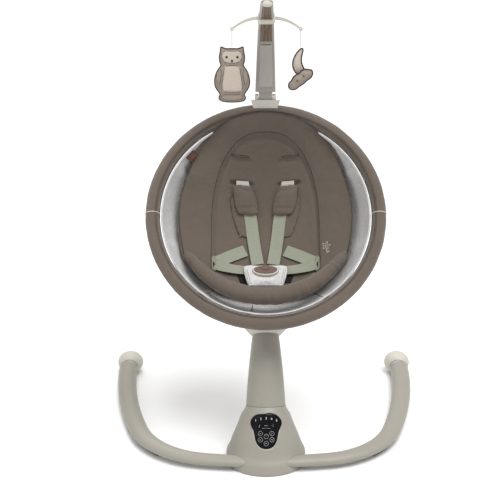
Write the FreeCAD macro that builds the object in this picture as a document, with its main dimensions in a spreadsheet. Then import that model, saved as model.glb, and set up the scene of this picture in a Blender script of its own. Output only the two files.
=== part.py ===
"""Electric baby swing: round hub, C-shaped base, leaning leg, reclining ring seat and toy bar.

Millimetres. +Z is up, +X is the seated child's left, -Y is the front. The origin is on the floor,
at the centre of the hub's base.
"""
import FreeCAD
import Part
import Sketcher

import math
import os
import re

SIZES = [
    # hub
    ("hub_half_width", 86, "half width of the hub's skirt"),
    ("hub_half_depth", 70.5, "half depth of the hub's skirt"),
    ("hub_wall", 2.6, "wall of the hub and leg shells"),
    ("hub_cone_top", 100, "height where the cone meets the collar"),
    ("hub_collar_radius", 52, "cone radius at the collar"),
    ("pad_thick", 2.5, "rubber pad under the hub"),
    ("plate_thick", 3.5, "hub base plate"),
    ("screw_radius", 1.9, "self-tapping screw shank"),
    ("boss_radius", 4.5, "screw boss"),
    # swing axis
    ("lean", 22.1, "degrees the swing axis leans back"),
    ("split_reach", 122.3, "from the origin to the hub and leg split, along the axis"),
    ("leg_base_radius", 43.8, "leg radius at the split"),
    ("spindle_radius", 8, "swing spindle"),
    ("running_gap", 0.05, "radial clearance of a shaft that turns"),
    ("bearing_radius", 14, "bearing outer radius"),
    ("bearing_height", 9, "bearing width"),
    ("bearing_low", 60, "lower bearing, along the axis"),
    ("bearing_high", 102, "upper bearing, along the axis"),
    ("coil_outer", 14, "drive coil outer radius"),
    ("coil_inner", 6, "drive coil inner radius"),
    ("arm_reach", 45, "spindle to the drive magnet"),
    # leg
    ("leg_top_y", 125.2, "centre of the leg's top rim, front to back"),
    ("leg_top_z", 247.7, "centre of the leg's top rim, height"),
    ("leg_top_lean", 38.9, "degrees the leg's top leans back"),
    ("leg_top_radius", 29.8, "leg radius at its top rim"),
    ("leg_tube_radius", 13, "steel core of the leg"),
    # recline pivot
    ("pivot_rise", 45, "leg's top rim to the recline pivot"),
    ("cup_radius", 56, "ball-shaped cup under the seat"),
    ("recline_travel", 15, "degrees the seat reclines"),
    ("knuckle_radius", 15, "barrel on the recline pin"),
    ("knuckle_half", 16, "half width of the barrel"),
    ("neck_radius", 12, "neck between the leg and the barrel"),
    ("pin_radius", 5, "recline pin"),
    # base tube
    ("tube_wall", 2, "wall of the base tube"),
    ("cap_half_width", 32, "end cap, half width"),
    ("cap_half_length", 30, "end cap, half length"),
    # seat ring
    ("seat_y", 183, "ring centre, front to back"),
    ("seat_z", 514, "ring centre, height"),
    ("seat_tilt", 50.3, "degrees between the ring and the floor"),
    ("ring_radius", 250, "ring centreline radius"),
    ("ring_tube", 12.5, "ring tube radius"),
    ("ring_wall", 1.5, "ring tube wall"),
    ("cover_radius", 15.5, "outside of the fabric ring cover"),
    # bowl
    ("bowl_radius", 232, "fabric bowl, outside radius at the ring"),
    ("bowl_depth", 171, "fabric bowl, outside depth"),
    ("bowl_thick", 4, "fabric bowl thickness"),
    ("shell_gap", 1.5, "fabric bowl to hard shell"),
    ("shell_thick", 3.5, "hard shell thickness"),
    # inlay
    ("dish_radius", 330, "radius of the inlay's dished face"),
    ("dish_depth", 115, "deepest point of the inlay under the ring plane"),
    ("dish_centre", -20, "deepest point of the inlay, along the ring plane"),
    ("pad_depth", 28, "inlay thickness"),
    ("roll_radius", 17, "front roll, tube radius"),
    ("roll_bend", 200, "front roll, bend radius"),
    # harness
    ("web_width", 28, "harness webbing width"),
    ("web_thick", 1.6, "harness webbing thickness"),
    ("buckle_width", 55, "buckle, side to side"),
    ("buckle_height", 26, "buckle, front to back"),
    ("buckle_thick", 13, "buckle thickness"),
    ("button_width", 22, "release button, side to side"),
    ("button_height", 12, "release button, front to back"),
    ("button_travel", 3, "release button travel"),
    # toy bar
    ("bar_pivot_y", 345, "toy bar hinge, front to back"),
    ("bar_pivot_z", 736, "toy bar hinge, height"),
    ("bar_reach", 205, "how far the bar curves forward"),
    ("bar_rise", 240, "how far the bar rises"),
    ("bar_base_width", 46, "bar width at its foot"),
    ("bar_tip_width", 22, "bar width at its tip"),
    ("bar_base_thick", 20, "bar thickness at its foot"),
    ("bar_tip_thick", 12, "bar thickness at its tip"),
    ("arm_half_span", 74, "bar centre to a toy string"),
    ("arm_drop", 23, "how far each arm droops"),
    ("string_length", 34, "toy string"),
    ("string_radius", 0.75, "toy string radius"),
    ("owl_width", 74, "owl toy width"),
    ("owl_height", 120, "owl toy height"),
    ("owl_thick", 16, "owl toy thickness"),
    ("moon_radius", 32, "moon toy radius"),
    ("cloud_length", 62, "cloud toy length"),
    ("cloud_width", 26, "cloud toy width"),
]
NAMES = {alias for alias, _, _ in SIZES}

HALF_TURN = 180
FULL_TURN = 360
SIDES = (("left", -1), ("right", 1))

doc = FreeCAD.newDocument("baby_swing")
sheet = doc.addObject("Spreadsheet::Sheet", "Sizes")
for row, (alias, value, note) in enumerate(SIZES, start=1):
    sheet.set("A%d" % row, str(value))
    sheet.set("B%d" % row, "'" + note)
    sheet.setAlias("A%d" % row, alias)
doc.recompute()

parts = []


# ---------------------------------------------------------------- expressions and vectors

def bound(text):
    """An expression in the sheet's aliases, written as FreeCAD reads it."""
    return re.sub(r"[a-z][a-z_]*", lambda word: "Sizes." + word.group() if word.group() in NAMES
                  else word.group(), text)


def size(text):
    """The value of an expression in the sheet's aliases."""
    value = sheet.evalExpression(bound(text))
    return float(getattr(value, "Value", value))


def vec(x, y, z):
    return FreeCAD.Vector(x, y, z)


def leaning(degrees):
    """Unit vector that leans back from +Z."""
    return vec(0, math.sin(math.radians(degrees)), math.cos(math.radians(degrees)))


def turned_about_x(origin, degrees):
    return FreeCAD.Placement(origin, FreeCAD.Rotation(vec(1, 0, 0), degrees))


# ---------------------------------------------------------------- document helpers

def keep(thing, label, placement=None):
    """Marks a document object as a finished sub-part."""
    thing.Label = label
    if placement is not None:
        thing.Placement = placement
    parts.append(thing)
    return thing


def primitive(kind, sizes, placement=FreeCAD.Placement()):
    thing = doc.addObject("Part::" + kind, kind)
    for name, text in sizes.items():
        thing.setExpression(name, bound(text))
    thing.Placement = placement
    return thing


def cylinder(radius, height, placement=FreeCAD.Placement()):
    return primitive("Cylinder", {"Radius": radius, "Height": height}, placement)


def box(length, width, height, placement=FreeCAD.Placement()):
    return primitive("Box", {"Length": length, "Width": width, "Height": height}, placement)


def many(kind, members):
    thing = doc.addObject("Part::" + kind, kind)
    if kind == "Compound":
        thing.Links = members
    else:
        thing.Shapes = members
    return thing


def cut(base, *tools):
    thing = doc.addObject("Part::Cut", "Cut")
    thing.Base = base
    thing.Tool = tools[0] if len(tools) == 1 else many("MultiFuse", list(tools))
    return thing


def fuse(*members):
    return many("MultiFuse", list(members))


def feature(shape, placement=None):
    """A shape that neither a body nor a primitive can make."""
    thing = doc.addObject("Part::Feature", "Shape")
    thing.Shape = shape
    if placement is not None:
        thing.Placement = placement
    return thing


def ring(outer, inner, height, placement=FreeCAD.Placement()):
    """A flat ring, its lower face on the placement's XY plane."""
    return cut(cylinder(outer, height, placement), cylinder(inner, height, placement))


def rounded_box(length, width, height, radius, placement=FreeCAD.Placement()):
    """A box centred on the placement, with every edge rounded."""
    corner = vec(-size(length) / 2, -size(width) / 2, -size(height) / 2)
    blank = box(length, width, height, placement * FreeCAD.Placement(corner, FreeCAD.Rotation()))
    doc.recompute()
    thing = doc.addObject("Part::Fillet", "Fillet")
    thing.Base = blank
    amount = size(radius)
    thing.Edges = [(edge, amount, amount) for edge in range(1, len(blank.Shape.Edges) + 1)]
    return thing


# ---------------------------------------------------------------- sketched bodies

def origin_plane(body, role):
    return next(plane for plane in body.Origin.OriginFeatures if plane.Role == role)


def new_sketch(body, role):
    sketch = body.newObject("Sketcher::SketchObject", "Sketch")
    sketch.AttachmentSupport = [(origin_plane(body, role), "")]
    sketch.MapMode = "FlatFace"
    return sketch


def pin_value(sketch, kind, args, text):
    """Adds a constraint whose value follows the sheet."""
    index = sketch.addConstraint(Sketcher.Constraint(kind, *args, size(text)))
    sketch.setExpression("Constraints[%d]" % index, bound(text))


def sketch_polygon(sketch, corners):
    """A closed outline; every corner is a pair of expressions."""
    points = [vec(size(across), size(up), 0) for across, up in corners]
    count = len(points)
    first = sketch.GeometryCount
    for index in range(count):
        sketch.addGeometry(Part.LineSegment(points[index], points[(index + 1) % count]))
    for index in range(count):
        following = first + (index + 1) % count
        sketch.addConstraint(Sketcher.Constraint("Coincident", first + index, 2, following, 1))
    for index, (across, up) in enumerate(corners):
        pin_value(sketch, "DistanceX", (-1, 1, first + index, 1), across)
        pin_value(sketch, "DistanceY", (-1, 1, first + index, 1), up)


def sketch_ellipse(sketch, half_width, half_height):
    wide = size(half_width)
    tall = size(half_height)
    index = sketch.addGeometry(Part.Ellipse(vec(wide, 0, 0), vec(0, tall, 0), vec(0, 0, 0)))
    sketch.exposeInternalGeometry(index)
    sketch.addConstraint(Sketcher.Constraint("Coincident", index, 3, -1, 1))
    sketch.addConstraint(Sketcher.Constraint("Horizontal", index + 1))
    pin_value(sketch, "DistanceX", (-1, 1, index + 1, 1 if wide > 0 else 2), half_width)
    pin_value(sketch, "Distance", (index + 2,), "2 * (%s)" % half_height)


def turned_body(corners, placement=None):
    """A body revolved about its own Z; corners are (radius, height)."""
    body = doc.addObject("PartDesign::Body", "Body")
    sketch = new_sketch(body, "XZ_Plane")
    sketch_polygon(sketch, corners)
    spin = body.newObject("PartDesign::Revolution", "Revolution")
    spin.Profile = sketch
    spin.ReferenceAxis = (sketch, ["V_Axis"])
    spin.Angle = FULL_TURN
    if placement is not None:
        body.Placement = placement
    return body


def padded_body(draw, height, placement=None):
    """A body padded up from its XY plane; draw fills in the sketch."""
    body = doc.addObject("PartDesign::Body", "Body")
    sketch = new_sketch(body, "XY_Plane")
    draw(sketch)
    pad = body.newObject("PartDesign::Pad", "Pad")
    pad.Profile = sketch
    pad.setExpression("Length", bound(height))
    if placement is not None:
        body.Placement = placement
    return body


def rectangle(half_width, half_height):
    """A sketch filler: a rectangle centred on the sketch's origin."""
    corners = [("-(%s)" % half_width, "-(%s)" % half_height), (half_width, "-(%s)" % half_height),
               (half_width, half_height), ("-(%s)" % half_width, half_height)]
    return lambda sketch: sketch_polygon(sketch, corners)


# ---------------------------------------------------------------- shape helpers

def ellipse_wire(centre, across, along, half_across, half_along):
    """An ellipse with its two half axes along the given unit vectors."""
    if abs(half_across - half_along) < 0.001:
        return circle_wire(centre, across.cross(along), half_across)
    if half_across > half_along:
        curve = Part.Ellipse(centre + across * half_across, centre + along * half_along, centre)
        return Part.Wire([curve.toShape()])
    curve = Part.Ellipse(centre + along * half_along, centre - across * half_across, centre)
    return Part.Wire([curve.toShape()])


def circle_wire(centre, normal, radius):
    return Part.Wire([Part.Circle(centre, normal, radius).toShape()])


def loft(wires):
    return Part.makeLoft(wires, True, False)


def prism(points, direction):
    return Part.Face(Part.makePolygon(points + points[:1])).extrude(direction)


def smooth_prism(points, direction):
    """A prism whose outline is a closed smooth curve through the points."""
    curve = Part.BSplineCurve()
    curve.interpolate(points, PeriodicFlag=True)
    return Part.Face(Part.Wire([curve.toShape()])).extrude(direction)


def largest(shape):
    """The biggest solid of a shape, free of slivers that a boolean leaves."""
    return max(shape.Solids, key=lambda solid: solid.Volume)


def block(low, high):
    return Part.makeBox(high.x - low.x, high.y - low.y, high.z - low.z, low)


def halves(solid, point, back):
    """Splits a solid into its front and back by the plane through point, normal to back."""
    reach = 600
    placement = FreeCAD.Placement(point, FreeCAD.Rotation(vec(0, 0, 1), back))
    seam = 0.1
    behind = block(vec(-reach, -reach, seam), vec(reach, reach, reach))
    ahead = block(vec(-reach, -reach, -reach), vec(reach, reach, -seam))
    behind.Placement = placement
    ahead.Placement = placement
    return solid.common(ahead), solid.common(behind)


# ---------------------------------------------------------------- frames of reference

ORIGIN = vec(0, 0, 0)
AXIS = leaning(size("lean"))
SWING = turned_about_x(ORIGIN, -size("lean"))
SPLIT = AXIS * size("split_reach")
LEG_TOP = vec(0, size("leg_top_y"), size("leg_top_z"))
LEG_TOP_AXIS = leaning(size("leg_top_lean"))
PIVOT = LEG_TOP + LEG_TOP_AXIS * size("pivot_rise")
SEAT = turned_about_x(vec(0, size("seat_y"), size("seat_z")), size("seat_tilt"))
BAR_PIVOT = vec(0, size("bar_pivot_y"), size("bar_pivot_z"))
ALONG_X = FreeCAD.Rotation(vec(0, 1, 0), 90)


def on_swing(x, y, reach, turn=FreeCAD.Rotation()):
    """A placement in the swing axis's own frame."""
    return SWING * FreeCAD.Placement(vec(x, y, reach), turn)


def in_seat(x, up, out, turn=FreeCAD.Rotation()):
    """A placement in the ring's own frame: across, up the ring plane, out of it."""
    return SEAT * FreeCAD.Placement(vec(x, up, out), turn)


# ---------------------------------------------------------------- base tubes

TUBE_BENDS = ((900, 8.95), (190, 71), (1000, 89), (90, 105))
TUBE_START = vec(0, -36, 0)
TUBE_SECTIONS = (
    # fraction of the run, half width, half height, centre height
    (0.0, 17, 10.5, 19),
    (0.25, 18.5, 11.5, 19),
    (0.45, 21, 12.5, 20),
    (0.7, 22, 14, 21.5),
    (0.9, 22.5, 16.5, 24),
    (1.0, 23, 18, 25.5),
)


def tube_run():
    """The base tube's plan, one side: arcs as (centre, radius, from heading, to heading, length)."""
    heading = 0.0
    point = TUBE_START
    run = []
    for radius, goal in TUBE_BENDS:
        start = math.radians(heading)
        centre = point + vec(math.sin(start), math.cos(start), 0) * radius
        run.append((centre, radius, heading, goal, radius * math.radians(goal - heading)))
        finish = math.radians(goal)
        point = centre - vec(math.sin(finish), math.cos(finish), 0) * radius
        heading = goal
    return run


def tube_point(fraction):
    """Point and heading on the left side's plan at a fraction of its length."""
    run = tube_run()
    left = fraction * sum(arc[4] for arc in run)
    for centre, radius, start, goal, length in run:
        if left <= length + 1e-6:
            break
        left -= length
    heading = math.radians(start) + min(left, length) / radius
    point = centre - vec(math.sin(heading), math.cos(heading), 0) * radius
    return point, vec(-math.cos(heading), math.sin(heading), 0)


def tube_size(fraction):
    """Half width, half height and centre height of the tube at a fraction of its length."""
    for low, high in zip(TUBE_SECTIONS, TUBE_SECTIONS[1:]):
        if fraction <= high[0]:
            part = (fraction - low[0]) / (high[0] - low[0])
            return [a + (b - a) * part for a, b in zip(low[1:], high[1:])]
    return list(TUBE_SECTIONS[-1][1:])


def tube_solid(side, inset, first=0.0, last=1.0, steps=22):
    wires = []
    for step in range(steps + 1):
        fraction = first + (last - first) * step / steps
        point, heading = tube_point(fraction)
        half_width, half_height, height = tube_size(fraction)
        centre = vec(-side * point.x, point.y, height)
        across = vec(-heading.y * -side, heading.x, 0)
        wires.append(ellipse_wire(centre, across, vec(0, 0, 1), half_width - inset,
                                  half_height - inset))
    return loft(wires)


TUBE_INSIDE_HUB = 0.035
BASE_CORNER = 0.42
CAP_START = 0.955


def base_tubes():
    wall = size("tube_wall")
    for name, side in SIDES:
        outer = tube_solid(side, 0, TUBE_INSIDE_HUB)
        inner = tube_solid(side, wall, TUBE_INSIDE_HUB)
        keep(feature(outer.cut(inner)), "base_tube_" + name)


def base_joiner():
    """Steel bar inside the hub that plugs into both tubes."""
    fit = 0.7
    reach = 0.14
    left = tube_solid(-1, size("tube_wall") + fit, 0.0, reach, 6)
    right = tube_solid(1, size("tube_wall") + fit, 0.0, reach, 6)
    keep(feature(left.fuse(right).removeSplitter()), "base_joiner")


def end_caps():
    """Rounded caps that the tube ends sit inside; each stands on the floor."""
    for name, side in SIDES:
        point, heading = tube_point(1.0)
        mouth, _ = tube_point(CAP_START)
        height = size("cap_half_length") - 2
        ball = primitive("Ellipsoid", {"Radius1": "cap_half_length - 2",
                                       "Radius2": "cap_half_width",
                                       "Radius3": "cap_half_length + 1",
                                       "Angle1": "-90", "Angle2": "90", "Angle3": "360"},
                         FreeCAD.Placement(vec(-side * point.x, point.y, height),
                                           FreeCAD.Rotation()))
        forward = vec(-side * heading.x, heading.y, 0)
        opening = FreeCAD.Placement(vec(-side * mouth.x, mouth.y, 0),
                                    FreeCAD.Rotation(vec(0, 0, 1), forward * -1))
        trim = box("400", "400", "400", opening * FreeCAD.Placement(vec(-200, -200, 0),
                                                                    FreeCAD.Rotation()))
        tube_end = feature(tube_solid(side, -0.1, 0.9, 1.0, 6))
        keep(cut(ball, trim, tube_end), "end_cap_" + name)


def foot_strips():
    """Rubber strips under the two front corners."""
    strips = []
    for _, side in SIDES:
        points = []
        for step in range(7):
            point, heading = tube_point(BASE_CORNER + (step - 3) * 0.02)
            outward = vec(heading.y, -heading.x, 0) * 6
            points.append(vec(-side * point.x, point.y, 0) + vec(side * outward.x, outward.y, 0))
        curve = Part.BSplineCurve()
        curve.interpolate(points)
        width = vec(0, 14, 0)
        face = curve.toShape().extrude(width)
        slab = face.extrude(vec(0, 0, 30))
        slab.translate(vec(0, -7, 0))
        strips.append(slab.cut(tube_solid(side, -0.1)).common(block(vec(-500, -100, 0),
                                                                     vec(500, 500, 13))))
    keep(feature(Part.makeCompound([largest(strip) for strip in strips])), "foot_strips")


# ---------------------------------------------------------------- hub

HUB_RINGS = (
    # height, share of the skirt's size
    (1.5, 0.985),
    (9, 1.005),
    (17, 1.015),
    (23, 1.005),
    (30, 0.96),
)


def hub_solid(inset):
    """The hub's outside, shrunk by inset: a skirt, a straight cone and a collar to the split."""
    wide = size("hub_half_width") - inset
    deep = size("hub_half_depth") - inset
    wires = []
    for height, share in HUB_RINGS:
        centre = vec(0, height * AXIS.y / AXIS.z, height)
        wires.append(ellipse_wire(centre, vec(1, 0, 0), vec(0, 1, 0), wide * share, deep * share))
    cone_top = size("hub_cone_top") / AXIS.z
    last_height, last_share = HUB_RINGS[-1]
    steps = 4
    for step in range(1, steps + 1):
        part = step / steps
        reach = last_height / AXIS.z * (1 - part) + cone_top * part
        normal = leaning(size("lean") * part)
        back = vec(0, normal.z, -normal.y)
        top = size("hub_collar_radius") - inset
        wires.append(ellipse_wire(AXIS * reach, vec(1, 0, 0), back,
                                  wide * last_share * (1 - part) + top * part,
                                  deep * last_share * (1 - part) + top * part))
    step_in = 0.8
    collar = Part.makeCone(size("hub_collar_radius") - step_in - inset,
                           size("leg_base_radius") - inset,
                           size("split_reach") - 0.8 - cone_top + 0.5,
                           AXIS * (cone_top - 0.5), AXIS)
    return loft(wires).fuse(collar).removeSplitter()


PANEL_THICK = 1.6
PANEL_PROUD = 0.5
BOSSES = ((0, -57.5), (-66, -4), (66, -4), (-56, 34), (56, 34), (-27, 58), (27, 58))
BOSS_LOW = 6.1
BOSS_HIGH = 34


def hub_front_frame():
    """Placement on the hub's front slope: X across, Y up the slope, Z out of it."""
    low = vec(0, -45.2, 55.4)
    high = vec(0, -2.3, 118.5)
    up = (high - low).normalize()
    return FreeCAD.Placement((low + high) / 2, FreeCAD.Rotation(vec(1, 0, 0), up, ORIGIN, "XYZ"))


def panel_outline(grow):
    """The touch panel: wide rounded top, narrower rounded foot."""
    half_top = 34 + grow
    half_foot = 23.5 + grow
    points = [vec(0, 38 + grow, 0), vec(22, 35 + grow, 0), vec(half_top, 20, 0),
              vec(half_foot + 4, 0, 0), vec(half_foot, -20, 0), vec(14, -34 - grow * 0.8, 0),
              vec(0, -38 - grow, 0)]
    points += [vec(-point.x, point.y, 0) for point in reversed(points[1:-1])]
    depth = 34
    body = smooth_prism(points, vec(0, 0, depth))
    body.translate(vec(0, 0, -depth / 2))
    body.Placement = hub_front_frame() * body.Placement
    return body


def hub_shells():
    wall = size("hub_wall")
    outer = hub_solid(0)
    hollow = hub_solid(wall)
    bosses = []
    for x, y in BOSSES:
        boss = Part.makeCylinder(size("boss_radius"), BOSS_HIGH - BOSS_LOW, vec(x, y, BOSS_LOW))
        rib = block(vec(0, -1.5, BOSS_LOW), vec(60, 1.5, BOSS_HIGH))
        outward = math.degrees(math.atan2(y, x))
        rib.Placement = FreeCAD.Placement(vec(x, y, 0), FreeCAD.Rotation(vec(0, 0, 1), outward))
        bosses.append(boss.fuse(rib).common(hollow))
    solid = outer.cut(hollow).fuse(bosses)
    for x, y in BOSSES:
        solid = solid.cut(Part.makeCylinder(size("screw_radius"), 16, vec(x, y, 4)))
    for _, side in SIDES:
        solid = solid.cut(tube_solid(side, -0.3, 0.0, 0.3, 8))
    solid = solid.cut(block(vec(-7.2, 50, 7), vec(7.2, 90, 19.2)))
    recess = panel_outline(0.3).common(outer.cut(hub_solid(PANEL_THICK + 0.1)))
    solid = solid.cut(recess)
    front, rear = halves(solid, ORIGIN, vec(0, AXIS.z, -AXIS.y))
    keep(feature(front), "hub_front_shell")
    keep(feature(rear), "hub_rear_shell")


def control_panel():
    skin = hub_solid(-PANEL_PROUD).cut(hub_solid(PANEL_THICK))
    keep(feature(skin.common(panel_outline(0))), "control_panel")


def hub_floor():
    """Rubber pad, base plate and the screws that hold the shells down."""
    keep(padded_body(lambda sketch: sketch_ellipse(sketch, "hub_half_width - 6",
                                                   "hub_half_depth - 8"), "pad_thick"),
         "hub_foot_pad")
    lift = FreeCAD.Placement(vec(0, 0, size("pad_thick")), FreeCAD.Rotation())
    plate = padded_body(lambda sketch: sketch_ellipse(sketch, "hub_half_width - 5",
                                                      "hub_half_depth - 6.8"),
                        "plate_thick", lift)
    holes = []
    screws = []
    for x, y in BOSSES:
        spot = FreeCAD.Placement(vec(x, y, size("pad_thick")), FreeCAD.Rotation())
        holes.append(cylinder("screw_radius * 2", "1.8", spot))
        holes.append(cylinder("screw_radius + 0.1", "plate_thick", spot))
        head = cylinder("screw_radius * 2 - 0.1", "1.7", spot)
        shank = cylinder("screw_radius", "17", spot)
        screws.append(fuse(head, shank))
    keep(cut(plate, *holes), "hub_base_plate")
    keep(many("Compound", screws), "hub_screws")


def electronics():
    """Board behind the panel, speaker, drive coil and the inlet at the back."""
    behind = hub_front_frame() * FreeCAD.Placement(vec(0, -2, -14), FreeCAD.Rotation())
    keep(padded_body(rectangle("21", "26"), "1.6"), "control_board", behind)
    speaker = turned_body([("0", "0"), ("15", "0"), ("15", "4"), ("8", "11"), ("0", "11")])
    keep(speaker, "speaker", FreeCAD.Placement(vec(-44, 4, 6.1), FreeCAD.Rotation()))
    keep(ring("coil_outer", "coil_inner", "8", on_swing(size("arm_reach"), 0, 16)), "drive_coil")
    jack = box("14", "15", "12", FreeCAD.Placement(vec(-7, 61.5, 7.1), FreeCAD.Rotation()))
    mouth = FreeCAD.Placement(vec(0, 80, 13), FreeCAD.Rotation(vec(1, 0, 0), 90))
    socket = cut(jack, cylinder("2.9", "13", mouth))
    tip = FreeCAD.Placement(vec(0, 75, 13), FreeCAD.Rotation(vec(1, 0, 0), 90))
    keep(fuse(socket, cylinder("1", "9", tip)), "dc_inlet")


def spindle_parts():
    """Housing on the base plate, two bearings, the spindle and its magnet arm."""
    column = Part.makeCylinder(size("bearing_radius + 4"), 60, vec(0, 0, 54))
    for front in (-18, 14):
        column = column.fuse(block(vec(-15, front, -20), vec(15, front + 4, 60)))
    column = column.cut(Part.makeCylinder(size("bearing_radius"), 80, vec(0, 0, 50)))
    column.Placement = SWING
    column = column.common(block(vec(-90, -90, size("pad_thick + plate_thick") + 0.05),
                                 vec(90, 120, 200)))
    keep(feature(column.removeSplitter()), "spindle_housing")
    bearings = [ring("bearing_radius", "spindle_radius + running_gap", "bearing_height",
                     on_swing(0, 0, size(low))) for low in ("bearing_low", "bearing_high")]
    keep(many("Compound", bearings), "spindle_bearings")
    keep(turned_body([("0", "30"), ("spindle_radius", "30"), ("spindle_radius", "150"),
                      ("0", "150")]), "spindle", SWING)
    arm = box("arm_reach + 8", "14", "5", on_swing(0, -7, 35))
    hub = cylinder("spindle_radius + 5", "7", on_swing(0, 0, 34))
    bore = cylinder("spindle_radius", "10", on_swing(0, 0, 33))
    keep(cut(fuse(arm, hub), bore), "magnet_arm")
    keep(cylinder("7.5", "6", on_swing(size("arm_reach"), 0, 28.9)), "drive_magnet")


# ---------------------------------------------------------------- leg

def leg_line(part):
    """Point and lean of the leg's centreline; part runs from the split to the top rim."""
    lean = size("lean") + (size("leg_top_lean") - size("lean")) * part
    start, end = SPLIT, LEG_TOP
    reach = (end - start).Length * 0.5
    middle = start + AXIS * reach
    point = start * (1 - part) ** 2 + middle * (2 * part * (1 - part)) + end * part ** 2
    return point, lean


def leg_solid(inset, longer=0.0):
    """The leg's outside, shrunk by inset; longer carries it past the top rim."""
    wires = []
    steps = 6
    for step in range(steps + 1):
        part = step / steps
        point, lean = leg_line(part)
        radius = size("leg_base_radius") * (1 - part) + size("leg_top_radius") * part
        bulge = 1.2 * math.sin(math.pi * part)
        wires.append(circle_wire(point, leaning(lean), radius + bulge - inset))
    body = loft(wires)
    if longer:
        body = body.fuse(Part.makeCylinder(size("leg_top_radius") - inset, longer, LEG_TOP,
                                           LEG_TOP_AXIS))
    return body


CORE_END = 0.9


def leg_core():
    points = [leg_line(part)[0] for part in (0.0, CORE_END / 2, CORE_END)]
    points[0] = points[0] + AXIS * 2
    return Part.Wire([Part.Arc(*points).toShape()])


def leg_shells():
    """Front and rear covers with ribs that grip the steel core."""
    outer = leg_solid(0, 12).cut(Part.makeSphere(size("cup_radius") + 1, PIVOT))
    hollow = leg_solid(size("hub_wall"), 12)
    for part in (0.0, 0.48, 0.85):
        point, lean = leg_line(part)
        hollow = hollow.cut(Part.makeCylinder(70, 4, point, leaning(lean)))
    solid = outer.cut(hollow)
    core = core_tube(size("leg_tube_radius"))
    solid = solid.cut(core).cut(Part.makeCylinder(size("leg_tube_radius"), 6, SPLIT - AXIS, AXIS))
    solid = solid.cut(Part.makeCylinder(size("neck_radius") + 1.5, 80,
                                        LEG_TOP + LEG_TOP_AXIS * (neck_start() - 1), LEG_TOP_AXIS))
    chord = (LEG_TOP - SPLIT).normalize()
    front, rear = halves(solid, SPLIT, vec(0, chord.z, -chord.y))
    keep(feature(largest(front)), "leg_front_shell")
    keep(feature(largest(rear)), "leg_rear_shell")


def core_tube(radius):
    path = leg_core()
    start = path.Edges[0].valueAt(path.Edges[0].FirstParameter)
    tangent = path.Edges[0].tangentAt(path.Edges[0].FirstParameter)
    return path.makePipeShell([circle_wire(start, tangent, radius)], True, True)


def leg_tube():
    keep(feature(core_tube(size("leg_tube_radius")).cut(core_tube(size("spindle_radius + 2.2")))),
         "leg_tube")


def neck_start():
    """Where the knuckle's neck starts, just past the end of the steel core."""
    return (leg_line(CORE_END)[0] - LEG_TOP).dot(LEG_TOP_AXIS) + 0.6


def pivot_knuckle():
    """Neck out of the leg and the barrel that turns on the recline pin."""
    neck = Part.makeCylinder(size("neck_radius"), size("pivot_rise") - neck_start(),
                             LEG_TOP + LEG_TOP_AXIS * neck_start(), LEG_TOP_AXIS)
    half = size("knuckle_half")
    barrel = Part.makeCylinder(size("knuckle_radius"), 2 * half, PIVOT - vec(half, 0, 0), vec(1, 0, 0))
    bore = Part.makeCylinder(size("pin_radius + running_gap"), 80, PIVOT - vec(40, 0, 0), vec(1, 0, 0))
    shank = Part.makeCylinder(9.5, 16, LEG_TOP + LEG_TOP_AXIS * (neck_start() - 14), LEG_TOP_AXIS)
    solid = neck.fuse(barrel).fuse(shank).cut(bore)
    keep(feature(solid.removeSplitter()), "pivot_knuckle")


# ---------------------------------------------------------------- seat carrier

def shell_ellipsoid(grow):
    """Ellipsoid about the ring's centre, grown from the bowl's outside, in the ring's frame."""
    wide = "bowl_radius + %s" % grow
    return primitive("Ellipsoid", {"Radius1": "bowl_depth + %s" % grow, "Radius2": wide,
                                   "Radius3": wide, "Angle1": "-90", "Angle2": "90",
                                   "Angle3": "360"}, SEAT)


def seat_shell():
    """Hard dish under the lower back of the fabric bowl."""
    outer = shell_ellipsoid("shell_gap + shell_thick")
    inner = shell_ellipsoid("shell_gap")
    above = box("600", "600", "400", in_seat(-300, -300, -48))
    head = box("600", "400", "600", in_seat(-300, 70, -400))
    keep(cut(outer, inner, above, head), "seat_shell")


def seat_cup():
    """Ball-shaped cup that joins the hard shell to the recline pin."""
    ball = Part.makeSphere(size("cup_radius"), PIVOT)
    half = size("knuckle_half") + 0.5
    hollow = Part.makeSphere(size("cup_radius") - 4, PIVOT).cut(
        block(PIVOT - vec(half + 7, 80, 80), PIVOT + vec(half + 7, 80, 80)))
    pocket = Part.makeCylinder(size("knuckle_radius") + 1, 2 * half, PIVOT - vec(half, 0, 0),
                               vec(1, 0, 0))
    reach = size("cup_radius") + 20
    start = PIVOT - vec(half, 0, 0)
    upright = LEG_TOP_AXIS * -1
    reclined = FreeCAD.Rotation(vec(1, 0, 0), size("recline_travel")).multVec(upright)
    front = vec(0, upright.z, -upright.y) * (size("neck_radius") + 1)
    rear = vec(0, -reclined.z, reclined.y) * (size("neck_radius") + 1)
    fan = [start + front, start + front + upright * reach,
           start + (upright + reclined) * (reach / 2) * 1.1,
           start + rear + reclined * reach, start + rear]
    slot = prism(fan, vec(2 * half, 0, 0))
    bore = Part.makeCylinder(size("pin_radius"), 60, PIVOT - vec(30, 0, 0), vec(1, 0, 0))
    body = feature(ball.cut(hollow).cut(pocket).cut(slot).cut(bore))
    keep(cut(body, shell_ellipsoid("shell_gap + shell_thick + 0.05")), "seat_cup")


def recline_pin():
    pin = FreeCAD.Placement(PIVOT - vec(26, 0, 0), ALONG_X)
    keep(turned_body([("0", "0"), ("pin_radius", "0"), ("pin_radius", "52"), ("0", "52")]),
         "recline_pin", pin)


# ---------------------------------------------------------------- ring and bowl

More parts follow.
